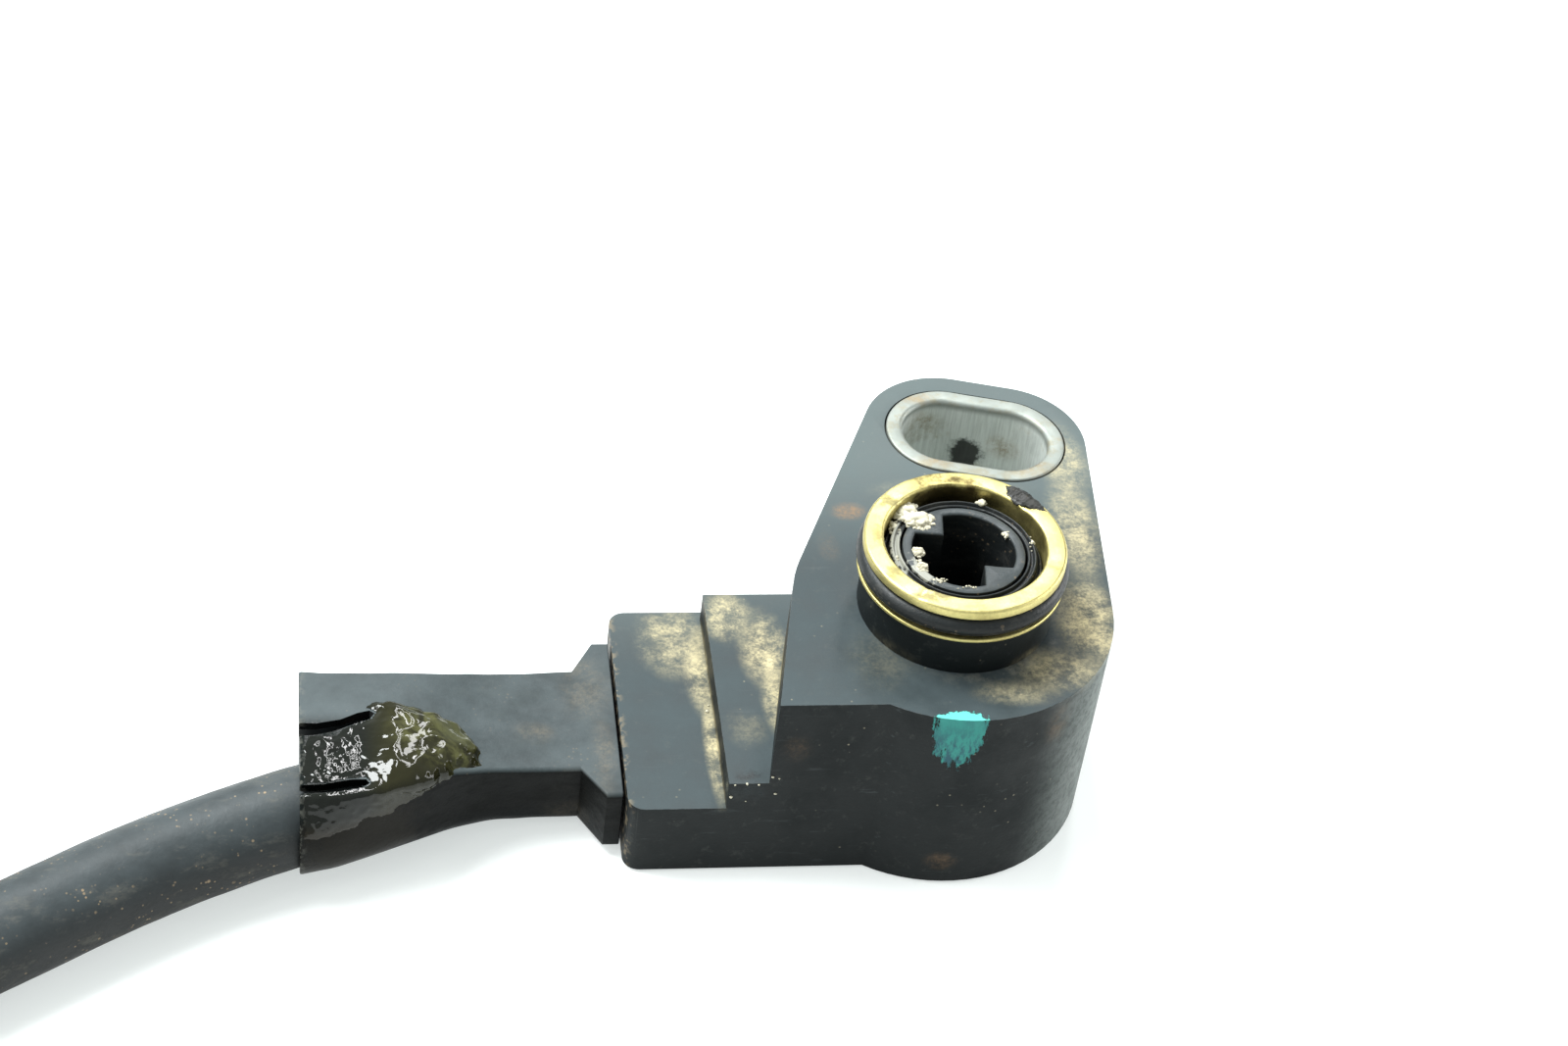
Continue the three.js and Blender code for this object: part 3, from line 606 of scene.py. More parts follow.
HOUSING = housing_look()
BOOT = boot_look()
CABLE_SKIN = rubber_look("cable_jacket", (0.008, 0.0095, 0.010), 0.45, dust=(0.046, 0.056, 0.06), grit=0.8,
                         gloss=0.25).done()
RUBBER = rubber_look("seal_rubber", (0.007, 0.008, 0.008), 0.32, dust=(0.03, 0.034, 0.036), grit=0.35, level=0.6)
RUBBER = crusted(RUBBER, (-3.9, 0.4, 18.2), (0.7, 3.6, 0.8), 3)
ROTOR = rubber_look("rotor_plastic", (0.008, 0.0095, 0.01), 0.33, dust=(0.06, 0.07, 0.074), grit=0.3, level=0.7)
ROTOR = crusted(ROTOR, (-2.7, -1.6, 18.3), (1.1, 2.4, 0.4), 5)
BRASS = brass_look()
BUSH = bush_look()
SEALANT = sealant_look()
STEEL = plain_look("spring_steel", (0.55, 0.56, 0.57), 0.35, 1.0)
CONTACT = plain_look("contact_brass", (0.66, 0.5, 0.2), 0.3, 1.0)
CERAMIC = plain_look("substrate", (0.72, 0.70, 0.63), 0.6)
CARBON = plain_look("track_ink", (0.02, 0.019, 0.018), 0.6)
CORE = plain_look("core_jacket", (0.25, 0.03, 0.02), 0.5)
CREAM = plain_look("crumb", (0.50, 0.47, 0.36), 0.8, grain=0.12)
PLUG = rubber_look("plug_plastic", (0.011, 0.0125, 0.013), 0.4, grit=0.3, level=0.6).done()
TIE = rubber_look("tie_plastic", (0.02, 0.02, 0.021), 0.35, grit=0.1, level=0.4).done()
RETAINER = plain_look("retainer_plastic", (0.42, 0.06, 0.02), 0.45)
SMEAR = rubber_look("rim_dirt", (0.007, 0.007, 0.0065), 0.3, dust=(0.02, 0.02, 0.018), grit=0.35, level=0.5).done()
CABLE.data.materials.append(CABLE_SKIN)
# The CAD nodes that keep their own mesh, and what each is made of.
KEPT_NODES = [
    (HOUSING, ["back_cover"]), (BRASS, ["bearing_bush"]), (ROTOR, ["wiper_carrier"]), (RUBBER, ["plug_seal"]),
    (STEEL, ["thrust_washer", "return_spring", "collector_track"]), (CERAMIC, ["element_plate"]),
    (CARBON, ["resistive_track"]), (SEALANT, ["entry_potting"]), (CORE, ["core_1", "core_2", "core_3"]),
    (CONTACT, ["wiper_outer", "wiper_inner", "terminal_1", "terminal_2", "terminal_3"]),
    (CONTACT, ["plug_terminal_1", "plug_terminal_2", "plug_terminal_3"]),
]
for kept_look, node_names in KEPT_NODES:
    for node_name in node_names:
        for material_slot in NODES[node_name].material_slots:
            material_slot.material = kept_look


# ------ housing and its metal

EAR_TURN = math.radians(14)
EAR_REACH = 15.5       # from the rotor's axis to the middle of the ear's slot
SLOT_HALF = 1.85       # half of the straight part of the slot
EAR = np.array([EAR_REACH * math.sin(EAR_TURN), EAR_REACH * math.cos(EAR_TURN)])
ALONG = np.array([math.cos(EAR_TURN), -math.sin(EAR_TURN)])


def ear_distance(x, y):
    """How far a point is from the line between the two ends of the ear's slot."""
    p = np.array([x, y]) - EAR
    return float(np.linalg.norm(p - ALONG * np.clip(p @ ALONG, -SLOT_HALF, SLOT_HALF)))


def rounded_copy(node, name, width, pick, material, slot, segments=3, body="sensor"):
    """A copy of a CAD node with its picked sharp edges rounded."""
    bm = bmesh.new()
    bm.from_mesh(NODES[node].data)
    bmesh.ops.remove_doubles(bm, verts=bm.verts, dist=2e-7)
    bmesh.ops.dissolve_limit(bm, angle_limit=math.radians(0.4), verts=bm.verts, edges=bm.edges)
    edges = []
    for edge in bm.edges:
        if len(edge.link_faces) != 2 or not edge.is_convex or edge.calc_face_angle(0) < math.radians(28):
            continue
        if pick((edge.verts[0].co + edge.verts[1].co) / 2 / MM):
            edges.append(edge)
    bmesh.ops.bevel(bm, geom=edges, offset=width * MM, offset_type="OFFSET", segments=segments, profile=0.5,
                    affect="EDGES", clamp_overlap=True)
    bmesh.ops.triangulate(bm, faces=[f for f in bm.faces if len(f.verts) > 4])
    mesh = bpy.data.meshes.new(name)
    bm.to_mesh(mesh)
    bm.free()
    obj = placed(name, mesh)
    weighted = obj.modifiers.new("normals", "WEIGHTED_NORMAL")
    weighted.keep_sharp = True
    weighted.weight = 100
    return finish_mesh(obj, body=body, material=material, slot=slot, replaces=(node,), sharp=40)


BODY_TOP, COLLAR_TOP, BLOCK_END = 13.9, 16.6, -19.3


def housing_edge(p):
    """Whether the housing's edge with its middle at p is one to round."""
    r = math.hypot(p.x, p.y)
    ear = ear_distance(p.x, p.y)
    if p.z > BODY_TOP - 0.1:
        return r > 7 or (abs(p.z - COLLAR_TOP) < 0.05 and r > 5.6)
    outside = r > 9.3 and p.x > -11 and ear > 5.0
    ear_rim = 5.0 < ear < 5.4
    blocks = p.x < -9 and (p.y < -8.1 or p.y > 7.5 or p.x < BLOCK_END)
    steps = p.z > 4.5 and (abs(p.x + 13.7) < 0.06 or p.x < BLOCK_END or abs(p.x + 11.35) < 0.1)
    return outside or ear_rim or blocks or steps


rounded_copy("housing", "housing_body", 0.2, housing_edge, HOUSING, "housing_plastic")


def obround_ring(name, profile, wobble, **rest):
    """A closed profile of (offset from the slot's centre line, z) carried round the ear's slot."""
    half_turn, straight = 72, 8
    spots = []
    for end, start in ((SLOT_HALF, -math.pi / 2), (-SLOT_HALF, math.pi / 2)):
        spots += [(end, start + math.pi * i / half_turn) for i in range(half_turn + 1)]
        spots += [(end * (1 - 2 * i / straight), start + math.pi) for i in range(1, straight)]
    verts = []
    for shift, a in spots:
        for offset, z in profile:
            u, v = shift + offset * math.cos(a), offset * math.sin(a)
            verts.append((EAR[0] + u * math.cos(EAR_TURN) + v * math.sin(EAR_TURN),
                          EAR[1] - u * math.sin(EAR_TURN) + v * math.cos(EAR_TURN), z))
    verts = np.array(verts)
    verts[:, 2] += wobble * smooth_noise(verts, 1.6, 4) * (verts[:, 2] > 7)
    mesh_object(name, verts, grid_faces(len(spots), len(profile), wrap_rows=True), **rest)


def dense(profile, gap):
    """The same closed profile with no two points further apart than gap."""
    out = []
    for i, p in enumerate(profile):
        q = profile[(i + 1) % len(profile)]
        count = max(1, int(math.dist(p, q) / gap))
        out += [(p[0] + (q[0] - p[0]) * k / count, p[1] + (q[1] - p[1]) * k / count) for k in range(count)]
    return out


obround_ring("bush", dense(fillet([(2.75, 0), (3.8, 0), (3.8, 14.0), (2.75, 14.0)], [0.15, 0.1, 0.12, 0.3]), 1.2),
             wobble=0.015, material=BUSH, slot="bush_steel", replaces=("mount_bush",))


def dent(verts):
    """Small nicks and a slightly uneven rim on the brass."""
    angle = np.arctan2(verts[:, 1], verts[:, 0])
    top = step(verts[:, 2], 18.6, 19.1)
    for at, wide, deep in ((0.62, 0.07, 0.12), (2.35, 0.05, 0.07), (-2.2, 0.04, 0.06), (-0.4, 0.05, 0.05)):
        verts[:, 2] -= deep * top * np.exp(-((angle - at) / wide) ** 2)
    verts[:, 2] += 0.02 * top * smooth_noise(verts, 1.3, 2)
    return verts


RIM_TOP = 19.03
sleeve = [(4.8, 14.5), (5.15, 14.5), (5.15, 16.7), (6.15, 16.7), (6.15, 16.95), (5.1, 16.95),
          (5.1, 18.35), (6.0, 18.35), (6.0, RIM_TOP), (4.8, RIM_TOP)]
turned("sleeve", dense(fillet(sleeve, [0.05, 0.05, 0.02, 0.08, 0.08, 0.03, 0.03, 0.12, 0.2, 0.18]), 0.4), 200, dent,
       material=BRASS, slot="sleeve_brass", replaces=("spigot_sleeve",))
ring = [(5.72 + 0.56 * math.cos(a), 17.65 + 0.58 * math.sin(a)) for a in around(28)]
turned("o_ring", ring, 180, lambda v: v + 0.012 * smooth_noise(v, 1.0, 6)[:, None] * [0, 0, 1],
       material=RUBBER, slot="seal_rubber", replaces=("spigot_o_ring",))
seal = [(3.78, 16.45), (4.72, 16.45), (4.72, 17.55), (4.6, 17.72), (4.46, 17.55), (4.4, 17.5), (4.34, 18.15),
        (4.2, 18.3), (4.1, 18.02), (3.98, 18.02), (3.9, 18.28), (3.78, 18.2)]
turned("shaft_seal_ring", fillet(seal, 0.06, 3), 160,
       lambda v: v + 0.02 * smooth_noise(v, 0.8, 8)[:, None] * [0, 0, 1],
       material=RUBBER, slot="seal_rubber", replaces=("shaft_seal",))


# ------ rotor

SOCKET_R, LUG, LUG_TURN = 3.05, 1.15, math.radians(-7)


def socket_radius(angle, grow=0.0):
    """The radius of the socket's opening, with a lug in two opposite quarters."""
    a = angle - LUG_TURN
    c, s = math.cos(a), math.sin(a)
    if c * s < 0:
        return min(SOCKET_R + grow, max((LUG + grow) / abs(c), (LUG + grow) / abs(s)))
    return SOCKET_R + grow


def make_rotor():
    """The hub as one closed skin: up its outside, over the rim and down into the socket."""
    angles = around(240).round(6).tolist()
    corner = []
    for k in (0, 1):
        for a in (-math.pi / 4, -math.asin(LUG / SOCKET_R), -math.pi / 2 + math.asin(LUG / SOCKET_R)):
            corner += [a + LUG_TURN + k * math.pi + d for d in (-0.003, 0.0, 0.003)]
    angles = sorted(angles + [a % (2 * math.pi) for a in corner])
    outer = [(2.4, 3.8), (2.4, 5.2), (4.25, 5.2), (4.25, 6.2), (3.65, 6.2), (3.65, 10.9), (5.1, 10.9),
             (5.1, 11.7), (3.65, 11.7), (3.65, 18.15), (3.61, 18.25), (3.52, 18.3)]
    inner = [(0.14, 18.3), (0.06, 18.27), (0.01, 18.2), (0.0, 18.1), (0.0, 13.0), (0.0, 8.06), (-0.08, 8.0)]
    rows = [[(r * math.cos(a), r * math.sin(a), z) for a in angles] for r, z in outer]
    rows += [[(socket_radius(a, g) * math.cos(a), socket_radius(a, g) * math.sin(a), z) for a in angles]
             for g, z in inner]
    verts = np.array(rows).reshape(-1, 3)
    top = verts[:, 2] > 18.05
    verts[top, 2] += 0.015 * smooth_noise(verts[top], 0.9, 3)
    faces = grid_faces(len(rows), len(angles), capped=True)
    mesh_object("rotor_hub", verts, faces, body="rotor", material=ROTOR, slot="rotor_plastic", replaces=("rotor",))


make_rotor()


# ------ boot

# The boot's sections: x, its back and front faces in y, its top and bottom in z, the radius of its lower front,
# and how far that radius swells forward.
KEYS = ("x", "back", "front", "top", "low", "round", "bulge")
FLANGE = dict(zip(KEYS, (-20.55, 6.05, -6.7, 4.9, 0.3, 0.5, 0)))
SLEEVE = [dict(zip(KEYS, row)) for row in (
    (-21.9, 3.85, -4.45, 4.75, 0.3, 0.6, 0),
    (-25, 3.5, -4.7, 5, 0.3, 0.9, 0),
    (-27.9, 3.05, -5.18, 5.5, 0.2, 1.4, 0),
    (-30, 2.5, -5.95, 6.1, 0.1, 2.1, 0.2),
    (-32.2, 2.1, -7.05, 6.6, 0, 2.8, 0.35),
    (-34.5, 1.85, -8, 6.9, 0, 3.2, 0.6),
    (-36.5, 1.8, -8.35, 7, 0, 3.35, 1.1),
    (-38.4, 1.9, -8.3, 7, 0, 3.4, 1.6),
)]


def boot_at(x):
    """The boot's section at x: straight over the flange and its slope, smooth along the sleeve."""
    if x >= FLANGE["x"]:
        return FLANGE
    if x >= SLEEVE[0]["x"]:
        t = (FLANGE["x"] - x) / (FLANGE["x"] - SLEEVE[0]["x"])
        return {k: FLANGE[k] * (1 - t) + SLEEVE[0][k] * t for k in KEYS[1:]}
    xs = [-s["x"] for s in SLEEVE]
    i = min(max(int(np.searchsorted(xs, -x)) - 1, 0), len(xs) - 2)
    h = xs[i + 1] - xs[i]
    t = (-x - xs[i]) / h
    out = {}
    for k in KEYS[1:]:
        v = [s[k] for s in SLEEVE]
        slope = np.gradient(v, xs)
        out[k] = ((2 * t ** 3 - 3 * t * t + 1) * v[i] + (t ** 3 - 2 * t * t + t) * h * slope[i]
                  + (3 * t * t - 2 * t ** 3) * v[i + 1] + (t ** 3 - t * t) * h * slope[i + 1])
    out["low"] = max(out["low"], 0.0)
    return out


def boot_section(x, inset=0.0, lip=0.3):
    """Points (y, z) round the boot from the back top corner over the top, down the front and under."""
    s = boot_at(x)
    r = max(s["round"] - inset, 0.15)
    centre = np.array([s["front"] + s["round"] - s["bulge"], s["low"] + s["round"]])
    front_top = np.array([s["front"] + inset, s["top"] - inset])
    back_top = np.array([s["back"] - inset, s["top"] - inset])
    back_low = np.array([s["back"] - inset, s["low"] + inset])
    away = front_top - centre
    tangent = math.atan2(away[1], away[0]) + math.acos(min(1.0, r / np.linalg.norm(away)))
    arc = [centre + r * np.array([math.cos(a), math.sin(a)]) for a in np.linspace(tangent, 1.5 * math.pi, 18)]
    soft = max(lip - inset, 0.08)
    parts = [round_corner(back_top, back_low, front_top, soft), 22, round_corner(front_top, back_top, arc[0], soft), 8,
             arc, 10, round_corner(back_low, arc[-1], back_top, max(0.3 - inset, 0.08)), 8]
    out = []
    for i in range(0, len(parts), 2):
        corner, between = parts[i], parts[i + 1]
        following = parts[(i + 2) % len(parts)][0]
        out += corner
        out += [corner[-1] + (following - corner[-1]) * k / (between + 1) for k in range(1, between + 1)]
    return np.array(out)


def flat_polygon_prism(name, outline, z0, z1):
    """An upright prism, to cut with."""
    n = len(outline)
    verts = [(x, y, z) for z in (z0, z1) for x, y in outline]
    faces = [[j, (j + 1) % n, n + (j + 1) % n, n + j] for j in range(n)]
    faces += [list(range(n))[::-1], [n + j for j in range(n)]]
    return placed(name, new_mesh(name, verts, faces))


def carve(mesh, cutters):
    """The mesh with the cutters taken away. The cutters are deleted."""
    body = placed("carved", mesh)
    for cutter in cutters:
        modifier = body.modifiers.new("cut", "BOOLEAN")
        modifier.operation = "DIFFERENCE"
        modifier.solver = "EXACT"
        modifier.object = cutter
    made = bpy.data.meshes.new_from_object(body.evaluated_get(bpy.context.evaluated_depsgraph_get()))
    for gone in [body, *cutters]:
        bpy.data.objects.remove(gone)
    return made


SLITS = [
    [(-39.2, -2.45), (-37.4, -2.5), (-36.0, -2.2), (-35.0, -1.65), (-34.3, -1.4), (-34.0, -1.6), (-34.3, -2.1),
     (-35.3, -2.6), (-36.4, -3.15), (-37.6, -3.45), (-39.2, -3.55)],
    [(-39.2, -7.45), (-37.0, -7.3), (-35.4, -6.95), (-34.6, -6.9), (-34.4, -7.2), (-34.9, -7.6), (-36.4, -7.95),
     (-39.2, -8.05)],
]

SLIT_HEIGHTS = (5.4, 8.0)


def make_boot():
    """One skin: up the inside of the open end, over its lip, along the outside to the flange, and capped."""
    # stations along X, each with how far its section is drawn in
    inside = [(x, 0.55) for x in np.linspace(-33.0, -38.2, 12)]
    lip = [(-38.36, 0.5), (-38.4, 0.42), (-38.4, 0.12), (-38.36, 0.03)]
    outside = np.concatenate([np.linspace(-38.25, -22.1, 84), [-21.98, -21.9, -21.82], np.linspace(-21.7, -20.68, 8),
                              [-20.6, -20.55, -20.5], np.linspace(-20.3, -19.8, 4)])
    end = [(-19.62, 0.0), (-19.57, 0.03), (-19.55, 0.1)]
    stations = inside + lip + [(x, 0.0) for x in outside] + end
    rows = [[(x, y, z) for y, z in boot_section(x, inset)] for x, inset in stations]
    verts = np.array(rows)
    outer = verts[len(inside + lip):]
    lumps = smooth_noise(outer.reshape(-1, 3), 3.0, 5, 2).reshape(outer.shape[:2])
    middle = outer.mean(axis=1, keepdims=True)
    push = (outer - middle) * [0, 1, 1]
    push /= np.linalg.norm(push, axis=2, keepdims=True)
    fade = step(-outer[..., 0], 22.5, 26.0) * step(-outer[..., 0], 38.3, 37.0)
    outer += push * (0.05 * lumps * fade - 0.03 * fade)[..., None]
    verts = verts.reshape(-1, 3)
    faces = grid_faces(len(rows), len(rows[0]), capped=True)
    cutters = [flat_polygon_prism("slit", outline, *SLIT_HEIGHTS) for outline in SLITS]
    boot = placed("boot", carve(new_mesh("boot", verts, faces), cutters))
    finish_mesh(boot, material=BOOT, slot="boot_rubber", replaces=("cable_boot",), sharp=30)


make_boot()


# ------ sealing compound

POOL = [(-38.1, -3.7), (-36.6, -3.6), (-35.4, -2.9), (-34.6, -1.7), (-34.2, -0.85), (-32.9, -0.65), (-31.2, -1.05),
        (-29.5, -1.5), (-28.4, -2.5), (-27.85, -3.7), (-27.9, -4.7), (-28.8, -5.15), (-29.8, -5.9), (-30.8, -7.0),
        (-32.0, -8.2), (-33.2, -9.3), (-34.4, -9.7), (-36.0, -10.6), (-37.4, -11.0), (-38.15, -10.9)]


def outline_depth(points, polygon):
    """Signed distance of points from a polygon's outline, positive inside."""
    poly = np.array(polygon)
    after = np.roll(poly, -1, axis=0)
    nearest = np.full(len(points), 1e9)
    inside = np.zeros(len(points), bool)
    for a, b in zip(poly, after):
        d = b - a
        t = np.clip(((points - a) @ d) / (d @ d), 0, 1)
        nearest = np.minimum(nearest, np.linalg.norm(points - a - t[:, None] * d, axis=1))
        crosses = (a[1] > points[:, 1]) != (b[1] > points[:, 1])
        with np.errstate(divide="ignore", invalid="ignore"):
            at = a[0] + (points[:, 1] - a[1]) / (b[1] - a[1]) * d[0]
        inside ^= crosses & (points[:, 0] < at)
    return np.where(inside, nearest, -nearest)


SEALANT_GRID = 0.11
UNDER_SKIN = 0.2       # how far the compound's hidden underside lies below the boot's surface


def closed_sheet(verts, keep):
    """
    The points and faces of a closed sheet over a grid. The first half of verts is its top, row by row, and the second
    half is the same grid from below. Only cells whose four corners are kept are there, with a wall round them.
    """
    rows, cols = keep.shape
    half = rows * cols
    faces, rim = [], {}
    for i in range(rows - 1):
        for j in range(cols - 1):
            if not keep[i:i + 2, j:j + 2].all():
                continue
            loop = [i * cols + j, (i + 1) * cols + j, (i + 1) * cols + j + 1, i * cols + j + 1]
            faces += [loop, [half + k for k in loop[::-1]]]
            for a, b in zip(loop, loop[1:] + loop[:1]):
                if (b, a) in rim:
                    del rim[(b, a)]
                else:
                    rim[(a, b)] = True
    faces += [[b, a, half + a, half + b] for a, b in rim]
    used = sorted({k for face in faces for k in face})
    renumber = {k: i for i, k in enumerate(used)}
    return verts[used], [[renumber[k] for k in face] for face in faces]


def boot_surface(x, q):
    """The point and normal on the boot at x, q along its section: q is y on the top, and runs on down the front."""
    section = boot_section(x)
    lengths = travelled(section)
    s = section[0][0] + 0.12 - q
    p, ahead, behind = (np.array([np.interp(at, lengths, section[:, k]) for k in (0, 1)])
                        for at in (s, s + 0.15, s - 0.15))
    d = (ahead - behind) / np.linalg.norm(ahead - behind)
    return p, np.array([d[1], -d[0]])


def make_sealant():
    """The pool over the slits and the thin tongue between them, laid on the boot's surface."""
    xs = np.arange(-38.2, -27.5, SEALANT_GRID)
    qs = np.arange(-0.4, -11.2, -SEALANT_GRID)
    grid = np.array([(x, q) for x in xs for q in qs])
    depth = outline_depth(grid, POOL)
    beside = np.min([-outline_depth(grid, slit) for slit in SLITS], axis=0)
    noise_at = np.column_stack([grid, np.zeros(len(grid))])
    ragged = np.minimum(depth + 0.28 * smooth_noise(noise_at, 0.9, 3), beside - 0.05)
    pool = step(grid[:, 0], -35.0, -32.5) * step(grid[:, 1], -8.2, -6.4)
    thick = (0.07 + 0.5 * pool) * (0.35 + 0.65 * step(ragged, 0.0, 1.3)) * step(ragged, -0.05, 0.35)
    bold = 1 - np.abs(smooth_noise(noise_at + [3, 1, 0], 1.7, 7, 1)) * 2.2
    ridges = 1 - np.abs(smooth_noise(noise_at + [3, 1, 0], 1.2, 7, 2)) * 2.4
    fine = 1 - np.abs(smooth_noise(noise_at + [1, 5, 0], 0.55, 4, 2)) * 2.4
    tongue = 1 - pool
    thick += (0.17 * pool * bold + 0.03 * tongue * ridges + (0.032 * tongue + 0.008) * fine) * step(ragged, 0.1, 0.6)
    thick += 0.09 * pool * step(ragged, 0.05, 0.3) * (1 - step(ragged, 0.35, 0.7))
    thick = np.where(ragged > 0, np.maximum(thick, 0.012), 0.012) - 0.1 * step(-ragged, -0.02, 0.2)
    keep = ((ragged > -0.24) & (beside > 0.03)).reshape(len(xs), len(qs))
    laid = np.array([boot_surface(x, q) for x, q in grid])
    base, normal = np.column_stack([grid[:, 0], laid[:, 0]]), np.column_stack([grid[:, 0] * 0, laid[:, 1]])
    verts = np.vstack([base + normal * thick[:, None], base - normal * UNDER_SKIN])
    verts, faces = closed_sheet(verts, keep)
    mesh_object("sealant_pool", verts, faces, material=SEALANT, slot="sealant", replaces=("boot_sealant",), sharp=60)


make_sealant()


# ------ dirt that has a shape of its own

def crumbs(name, body, spots):
    """One mesh of loose, lumpy crumbs, each at x, y, z with its size."""
    bm = bmesh.new()
    bmesh.ops.create_icosphere(bm, subdivisions=3, radius=1.0)
    ball = np.array([v.co[:] for v in bm.verts])
    loops = [[v.index for v in f.verts] for f in bm.faces]
    bm.free()
    verts, faces = [], []
    for k, (*centre, size) in enumerate(spots):
        seed = k * 1.7 + len(name)
        swell = 1 + 0.38 * smooth_noise(ball, 0.8, seed, 4) + 0.12 * smooth_noise(ball, 0.25, seed + 5, 2)
        verts.append(ball * swell[:, None] * [size, size * (0.8 + 0.3 * math.sin(k)), size * 0.75] + centre)
        faces += [[k * len(ball) + i for i in loop] for loop in loops]
    mesh_object(name, np.vstack(verts), faces, body=body, material=CREAM, sharp=80)


def heap(centre, spread, count, sizes, seed):
    """Places and sizes of crumbs heaped together, the larger ones in the middle."""
    rng = np.random.default_rng(seed)
    out = []
    for k in range(count):
        far = (k / count) ** 0.7
        a = rng.uniform(0, 2 * math.pi)
        x, y = centre[0] + spread[0] * far * math.cos(a), centre[1] + spread[1] * far * math.sin(a)
        size = sizes[0] * (1 - far) + sizes[1] * far
        out.append((x, y, centre[2] + rng.uniform(0, 0.18) * (1 - far), size * rng.uniform(0.75, 1.2)))
    return out


# Each heap: its centre, its spread in x and y, how many crumbs, the largest and the smallest, and a seed.
SEAL_HEAPS = [((-2.95, 3.35, 18.15), (0.95, 0.75), 34, (0.5, 0.15), 3),
              ((-3.75, 2.2, 17.95), (0.35, 0.8), 12, (0.2, 0.08), 4),
              ((1.7, 4.0, 18.2), (0.3, 0.25), 5, (0.24, 0.1), 5),
              ((-4.05, -0.6, 17.95), (0.2, 1.4), 12, (0.12, 0.05), 6),
              ((4.2, 0.6, 18.1), (0.2, 0.9), 7, (0.11, 0.05), 7),
              ((-2.6, -3.4, 18.0), (0.7, 0.4), 9, (0.1, 0.05), 8)]
ROTOR_HEAPS = [((-2.3, 2.5, 18.25), (1.0, 0.8), 36, (0.5, 0.14), 13),
               ((-2.75, 0.0, 18.15), (0.35, 0.5), 12, (0.32, 0.1), 14),
               ((-2.75, -1.35, 18.2), (0.35, 0.65), 16, (0.28, 0.09), 15),
               ((-1.9, -2.65, 18.25), (0.6, 0.35), 12, (0.12, 0.05), 16),
               ((2.75, 1.3, 18.15), (0.25, 0.7), 9, (0.18, 0.06), 17),
               ((-0.4, -3.2, 18.28), (0.8, 0.12), 8, (0.08, 0.04), 18)]
crumbs("crumbs_on_seal", "sensor", [spot for pile in SEAL_HEAPS for spot in heap(*pile)])
crumbs("crumbs_on_rotor", "rotor", [spot for pile in ROTOR_HEAPS for spot in heap(*pile)])
# Single grains that lie along the foot of the steps.
SPECKS = [(-13.35, -8.2, 7.3), (-12.65, -8.22, 7.38), (-11.95, -8.22, 7.3), (-11.2, -8.22, 7.95), (-10.8, -8.22, 7.8),
          (-10.9, -8.22, 6.5), (-12.6, -8.22, 5.9), (-13.5, -8.22, 6.3), (-13.9, 0.1, 5.35), (-14.05, -0.4, 5.35)]
crumbs("dust_specks", "sensor", [(x, y, z, 0.07 + 0.03 * math.sin(3 * i)) for i, (x, y, z) in enumerate(SPECKS)])


def make_smear():
    """A flake of dark dirt lying over the brass rim."""
    outline = [(3.15, 4.75), (3.7, 4.75), (4.4, 4.1), (4.95, 3.3), (5.25, 2.45), (4.75, 2.5), (4.05, 2.85),
               (3.4, 3.25), (3.05, 3.9)]
    xs, ys = np.arange(2.8, 5.5, 0.06), np.arange(2.2, 5.1, 0.06)
    grid = np.array([(x, y) for x in xs for y in ys])
    depth = outline_depth(grid, outline) + 0.1 * smooth_noise(np.column_stack([grid, grid[:, 0] * 0]), 0.5, 2)
    r = np.hypot(grid[:, 0], grid[:, 1])
    grain = smooth_noise(np.column_stack([(grid[:, 0] + grid[:, 1]) * 0.25, (grid[:, 0] - grid[:, 1]) * 1.5,
                                          grid[:, 0] * 0]), 0.4, 9)
    top = RIM_TOP + 0.08 * step(depth, 0.0, 0.3) + 0.03 * grain * step(depth, 0, 0.2) - 0.5 * step(r, 4.9, 4.4)
    low = np.minimum(18.95, top - 0.05)
    verts = np.vstack([np.column_stack([grid, top]), np.column_stack([grid, low])])
    verts, faces = closed_sheet(verts, (depth > 0).reshape(len(xs), len(ys)))
    mesh_object("rim_dirt", verts, faces, material=SMEAR, sharp=60)


make_smear()


# ------ plug, tie and the cord they are on

PLUG_X, PLUG_Z = -126.9, 5.8


def everywhere(_):
    return True


SHELL = rounded_copy("plug_housing", "plug_shell", 0.3, everywhere, PLUG, "plug_plastic")
LATCH = rounded_copy("plug_latch", "plug_lever", 0.2, everywhere, PLUG, "plug_plastic", body="plug_latch")
LOCK = rounded_copy("plug_retainer", "plug_lock", 0.12, everywhere, RETAINER, "retainer_plastic", segments=2)
TIE_BAND = rounded_copy("coil_tie", "tie", 0.08, everywhere, TIE, "tie_plastic", segments=2)


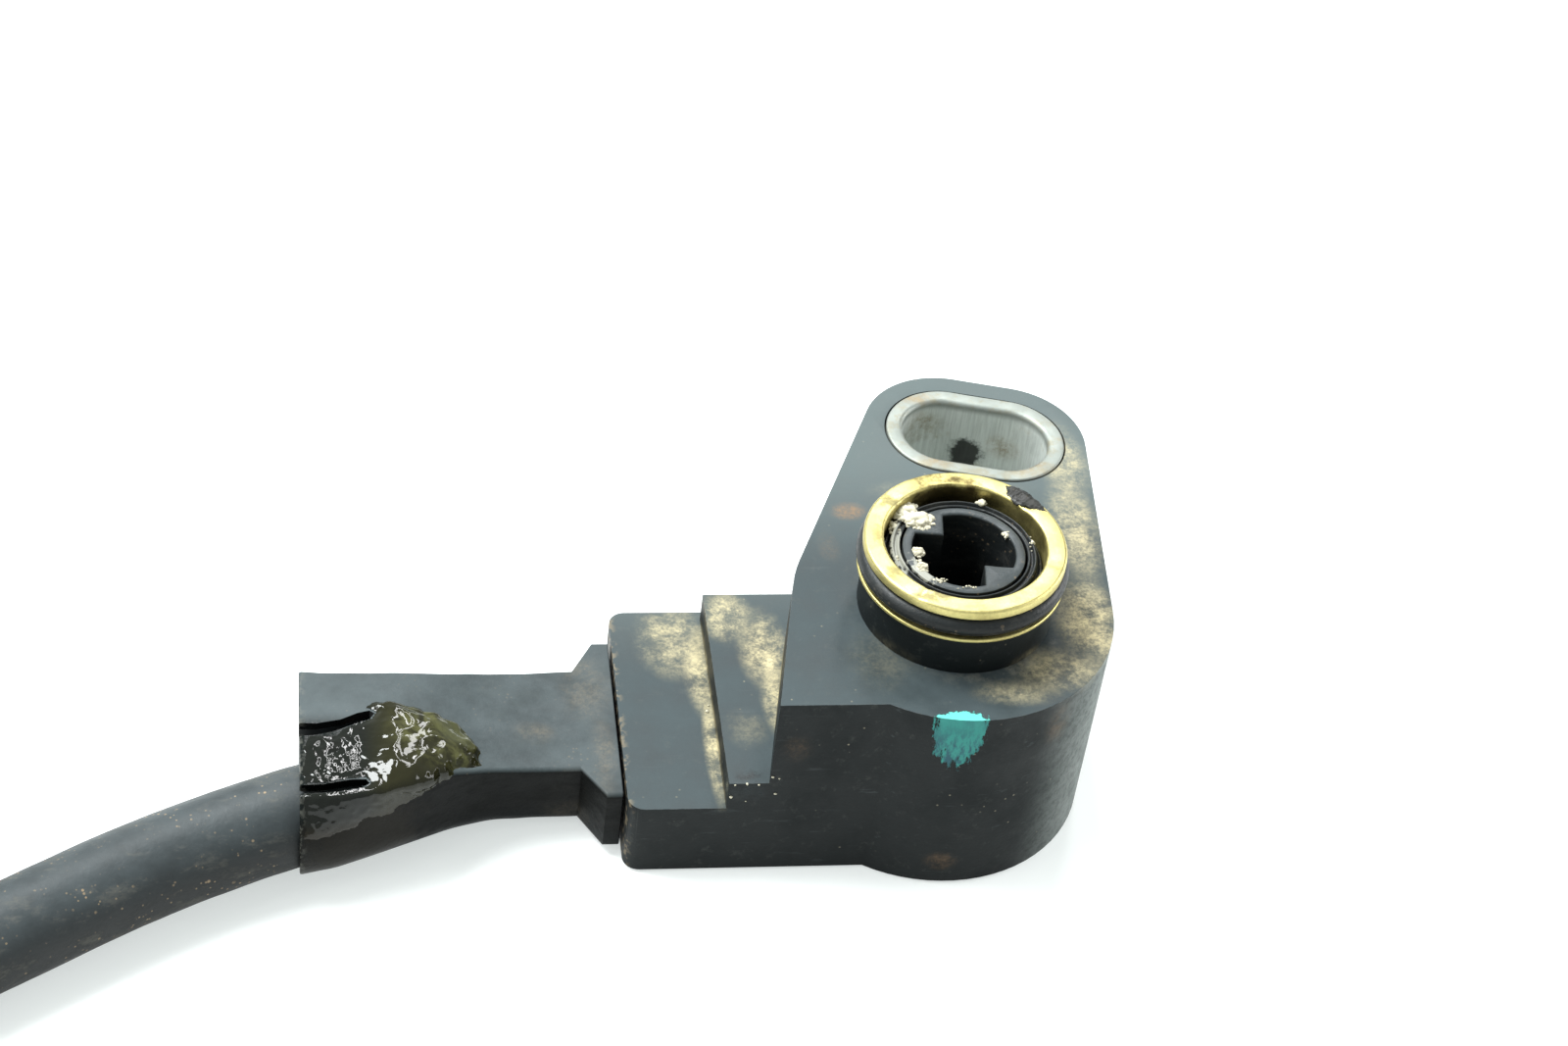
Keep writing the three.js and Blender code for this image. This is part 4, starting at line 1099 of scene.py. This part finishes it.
def make_plug_boot():
    """The plug's bend relief: a tapering rubber sleeve with ribs, turned about the cable."""
    profile = [(2.95, 27.7), (3.25, 27.7), (3.4, 27.85)]
    for k in range(5):
        y = 28.7 + k * 1.25
        r = 3.42 + (y - 27.7) * 0.075
        profile += [(r - 0.22, y - 0.3), (r + 0.05, y - 0.05), (r + 0.05, y + 0.55), (r - 0.18, y + 0.8)]
    profile += [(4.1, 35.2), (4.75, 35.9), (4.75, 36.65), (4.6, 36.8), (2.95, 36.8)]
    sides = 72
    verts = [(PLUG_X + r * math.cos(a), y, PLUG_Z + r * math.sin(a))
             for a in around(sides) for r, y in profile]
    return mesh_object("plug_strain_relief", verts, grid_faces(sides, len(profile), wrap_rows=True), material=BOOT,
                       slot="boot_rubber", replaces=("plug_boot",))


RELIEF = make_plug_boot()


# ------ stage and light

def make_stage():
    """A plain pale floor that glows a little, like the photo's bright background."""
    mesh = bpy.data.meshes.new("floor")
    far = 3.0
    mesh.from_pydata([(-far, -far, 0), (far, -far, 0), (far, far, 0), (-far, far, 0)], [], [(0, 1, 2, 3)])
    glow = Look("floor", (0.5, 0.51, 0.505), 0.9, Emission_Color=(0.95, 1, 0.99, 1), Emission_Strength=0.55)
    mesh.materials.append(glow.done())
    floor = placed("floor", mesh)
    floor.location.z = -0.0002


def area_light(name, place, aim, size, power, colour=(1, 1, 1)):
    data = bpy.data.lights.new(name, "AREA")
    data.shape = "RECTANGLE"
    data.size, data.size_y = size
    data.energy = power
    data.color = colour
    lamp = placed(name, data)
    lamp.location = place
    lamp.rotation_euler = (Vector(aim) - Vector(place)).to_track_quat("-Z", "Y").to_euler()


# Each light: its name, its place, where it points, its size (all in metres), its power in watts and its colour.
LIGHTS = [
    ("over", (-0.28, 0.16, 0.5), (-0.02, 0, 0), (0.3, 0.24), 8, (0.96, 1, 1)),
    ("glint", (0.0, 0.30, 0.335), (-0.03, -0.004, 0.007), (0.02, 0.26), 0.5),
    ("glint_right", (0.09, 0.28, 0.335), (-0.03, -0.004, 0.007), (0.05, 0.2), 0.6),
    ("right", (0.42, 0.06, 0.13), (0, 0, 0.008), (0.3, 0.2), 1.6),
    ("side", (-0.5, -0.1, 0.35), (0, 0, 0), (0.3, 0.3), 1.5),
]


def make_lights():
    SCENE.view_settings.view_transform = "Standard"
    world = bpy.data.worlds.new("world")
    world.use_nodes = True
    background = world.node_tree.nodes["Background"]
    background.inputs["Color"].default_value = (0.93, 1.0, 0.98, 1)
    background.inputs["Strength"].default_value = 0.6
    SCENE.world = world
    for light in LIGHTS:
        area_light(*light)


make_stage()
make_lights()
